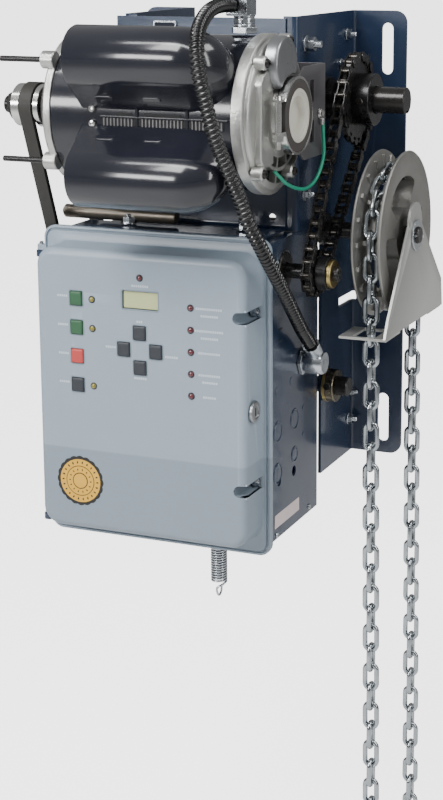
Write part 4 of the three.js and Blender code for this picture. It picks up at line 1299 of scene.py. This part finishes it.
def add_top_connector():
    top = bmesh.new()
    slab(top, "z", hexagon(21.6, 0, TOP), 69.5, 75)
    neck = [(9.5, 75), (9.5, 77), (8.8, 77.6), (9.5, 78.4), (9.5, 82), (8.8, 82.8), (9.5, 83.6), (9.5, 86)]
    turned(top, "z", neck, TOP, 40)
    elbow = [(-226.4, 85.6), (-226.2, 100), (-228, 101.6), (-246, 101.8), (-248.3, 100), (-248.4, 86.4),
             (-247, 84.6), (-228, 84.4)]
    slab(top, "x", elbow, -32.6, -12.4)
    emit("top_connector_skin", top, "zinc", node="conduit_connector_top", bevel=1.2)
    clamp = bmesh.new()
    for x in (-30.2, -15):
        screw(clamp, (x, -241, 101.6), (0, 0, 1), 3, 0.3)
    emit("top_connector_screws", clamp, "machined")


def add_bottom_connector():
    bottom = bmesh.new()
    bar(bottom, "x", 9.3, -6, 3, BOTTOM, 40)
    slab(bottom, "x", hexagon(24, 0, BOTTOM), 0.4, 4)
    turned(bottom, "x", [(0.2, 3), (11, 3), (11.6, 4), (11.6, 22), (10.4, 24), (0.2, 24)], BOTTOM, 48)
    emit("bottom_connector_skin", bottom, "zinc", node="conduit_connector_bottom", bevel=0.4)
    throat = bmesh.new()
    tube(throat, smooth_path([(14, -147, -242), (14.6, -153, -233), (15.3, -163.5, -224.6)], 1), 8.6, 36)
    emit("bottom_connector_throat", throat, "zinc", bevel=0.6)


SPRING = {"x": -83, "y": -160, "z": -455.5, "turns": 17, "r": 7.2, "half": 22}


def add_spring():
    """A coil with a hook at each end, and the eye that it hangs on."""
    x, y, half = SPRING["x"], SPRING["y"], SPRING["half"]
    steps = 24 * SPRING["turns"]
    coil = circle(SPRING["r"], 24) * SPRING["turns"] + [(SPRING["r"], 0)]
    coil = [(u, v, 2 * half * i / steps - half) for i, (u, v) in enumerate(coil)]
    upper = [(5.6, 3.5, half + 1.8), (0, 5.5, 27.5), (0, 3.4, 33.5), (0, -0.6, 35.4), (0, -4.6, 33),
             (0, -5.6, 28.6)]
    lower = [(5.6, -3.5, -half - 1.8), (0, -5.6, -28), (0, -3.4, -35), (0, 0.6, -37), (0, 4.8, -34.6),
             (0, 5.8, -30)]
    line = smooth_path(lower[::-1], 1.2) + coil + smooth_path(upper, 1.2)
    bm = bmesh.new()
    tube(bm, [Vector(point) + Vector((x, y, SPRING["z"])) for point in line], 1.1, 10)
    emit("spring_coil", bm, "zinc", "release_spring", "release_spring", crease=80)

    eye = bmesh.new()
    bar(eye, "z", 3.5, -413, -401.5, (x, y), 28, 0.4)
    slab(eye, "z", hexagon(12, 0, (x, y)), -408, -405.4)
    tube(eye, [(u, y, v) for u, v in circle(6.2, 40, (x, -419))], 1.4, 14, ring=True)
    emit("spring_eye_skin", eye, "zinc", node="spring_eye", bevel=0.2)


add_camera()
add_cords()
add_world()
for light in LIGHTS:
    add_light(*light)
add_floor()
add_frame()
add_box_details()
add_cover()
add_keypad()
refined("circuit_board", "board", bevel=0.2)
refined("transformer", "dark_paint", bevel=0.6)
add_motor()
add_shafts()
add_chains()
add_hand_chain()
add_wheel()
refined("chain_guide", "sheet_steel", bevel=0.45)
add_top_connector()
add_bottom_connector()
add_spring()
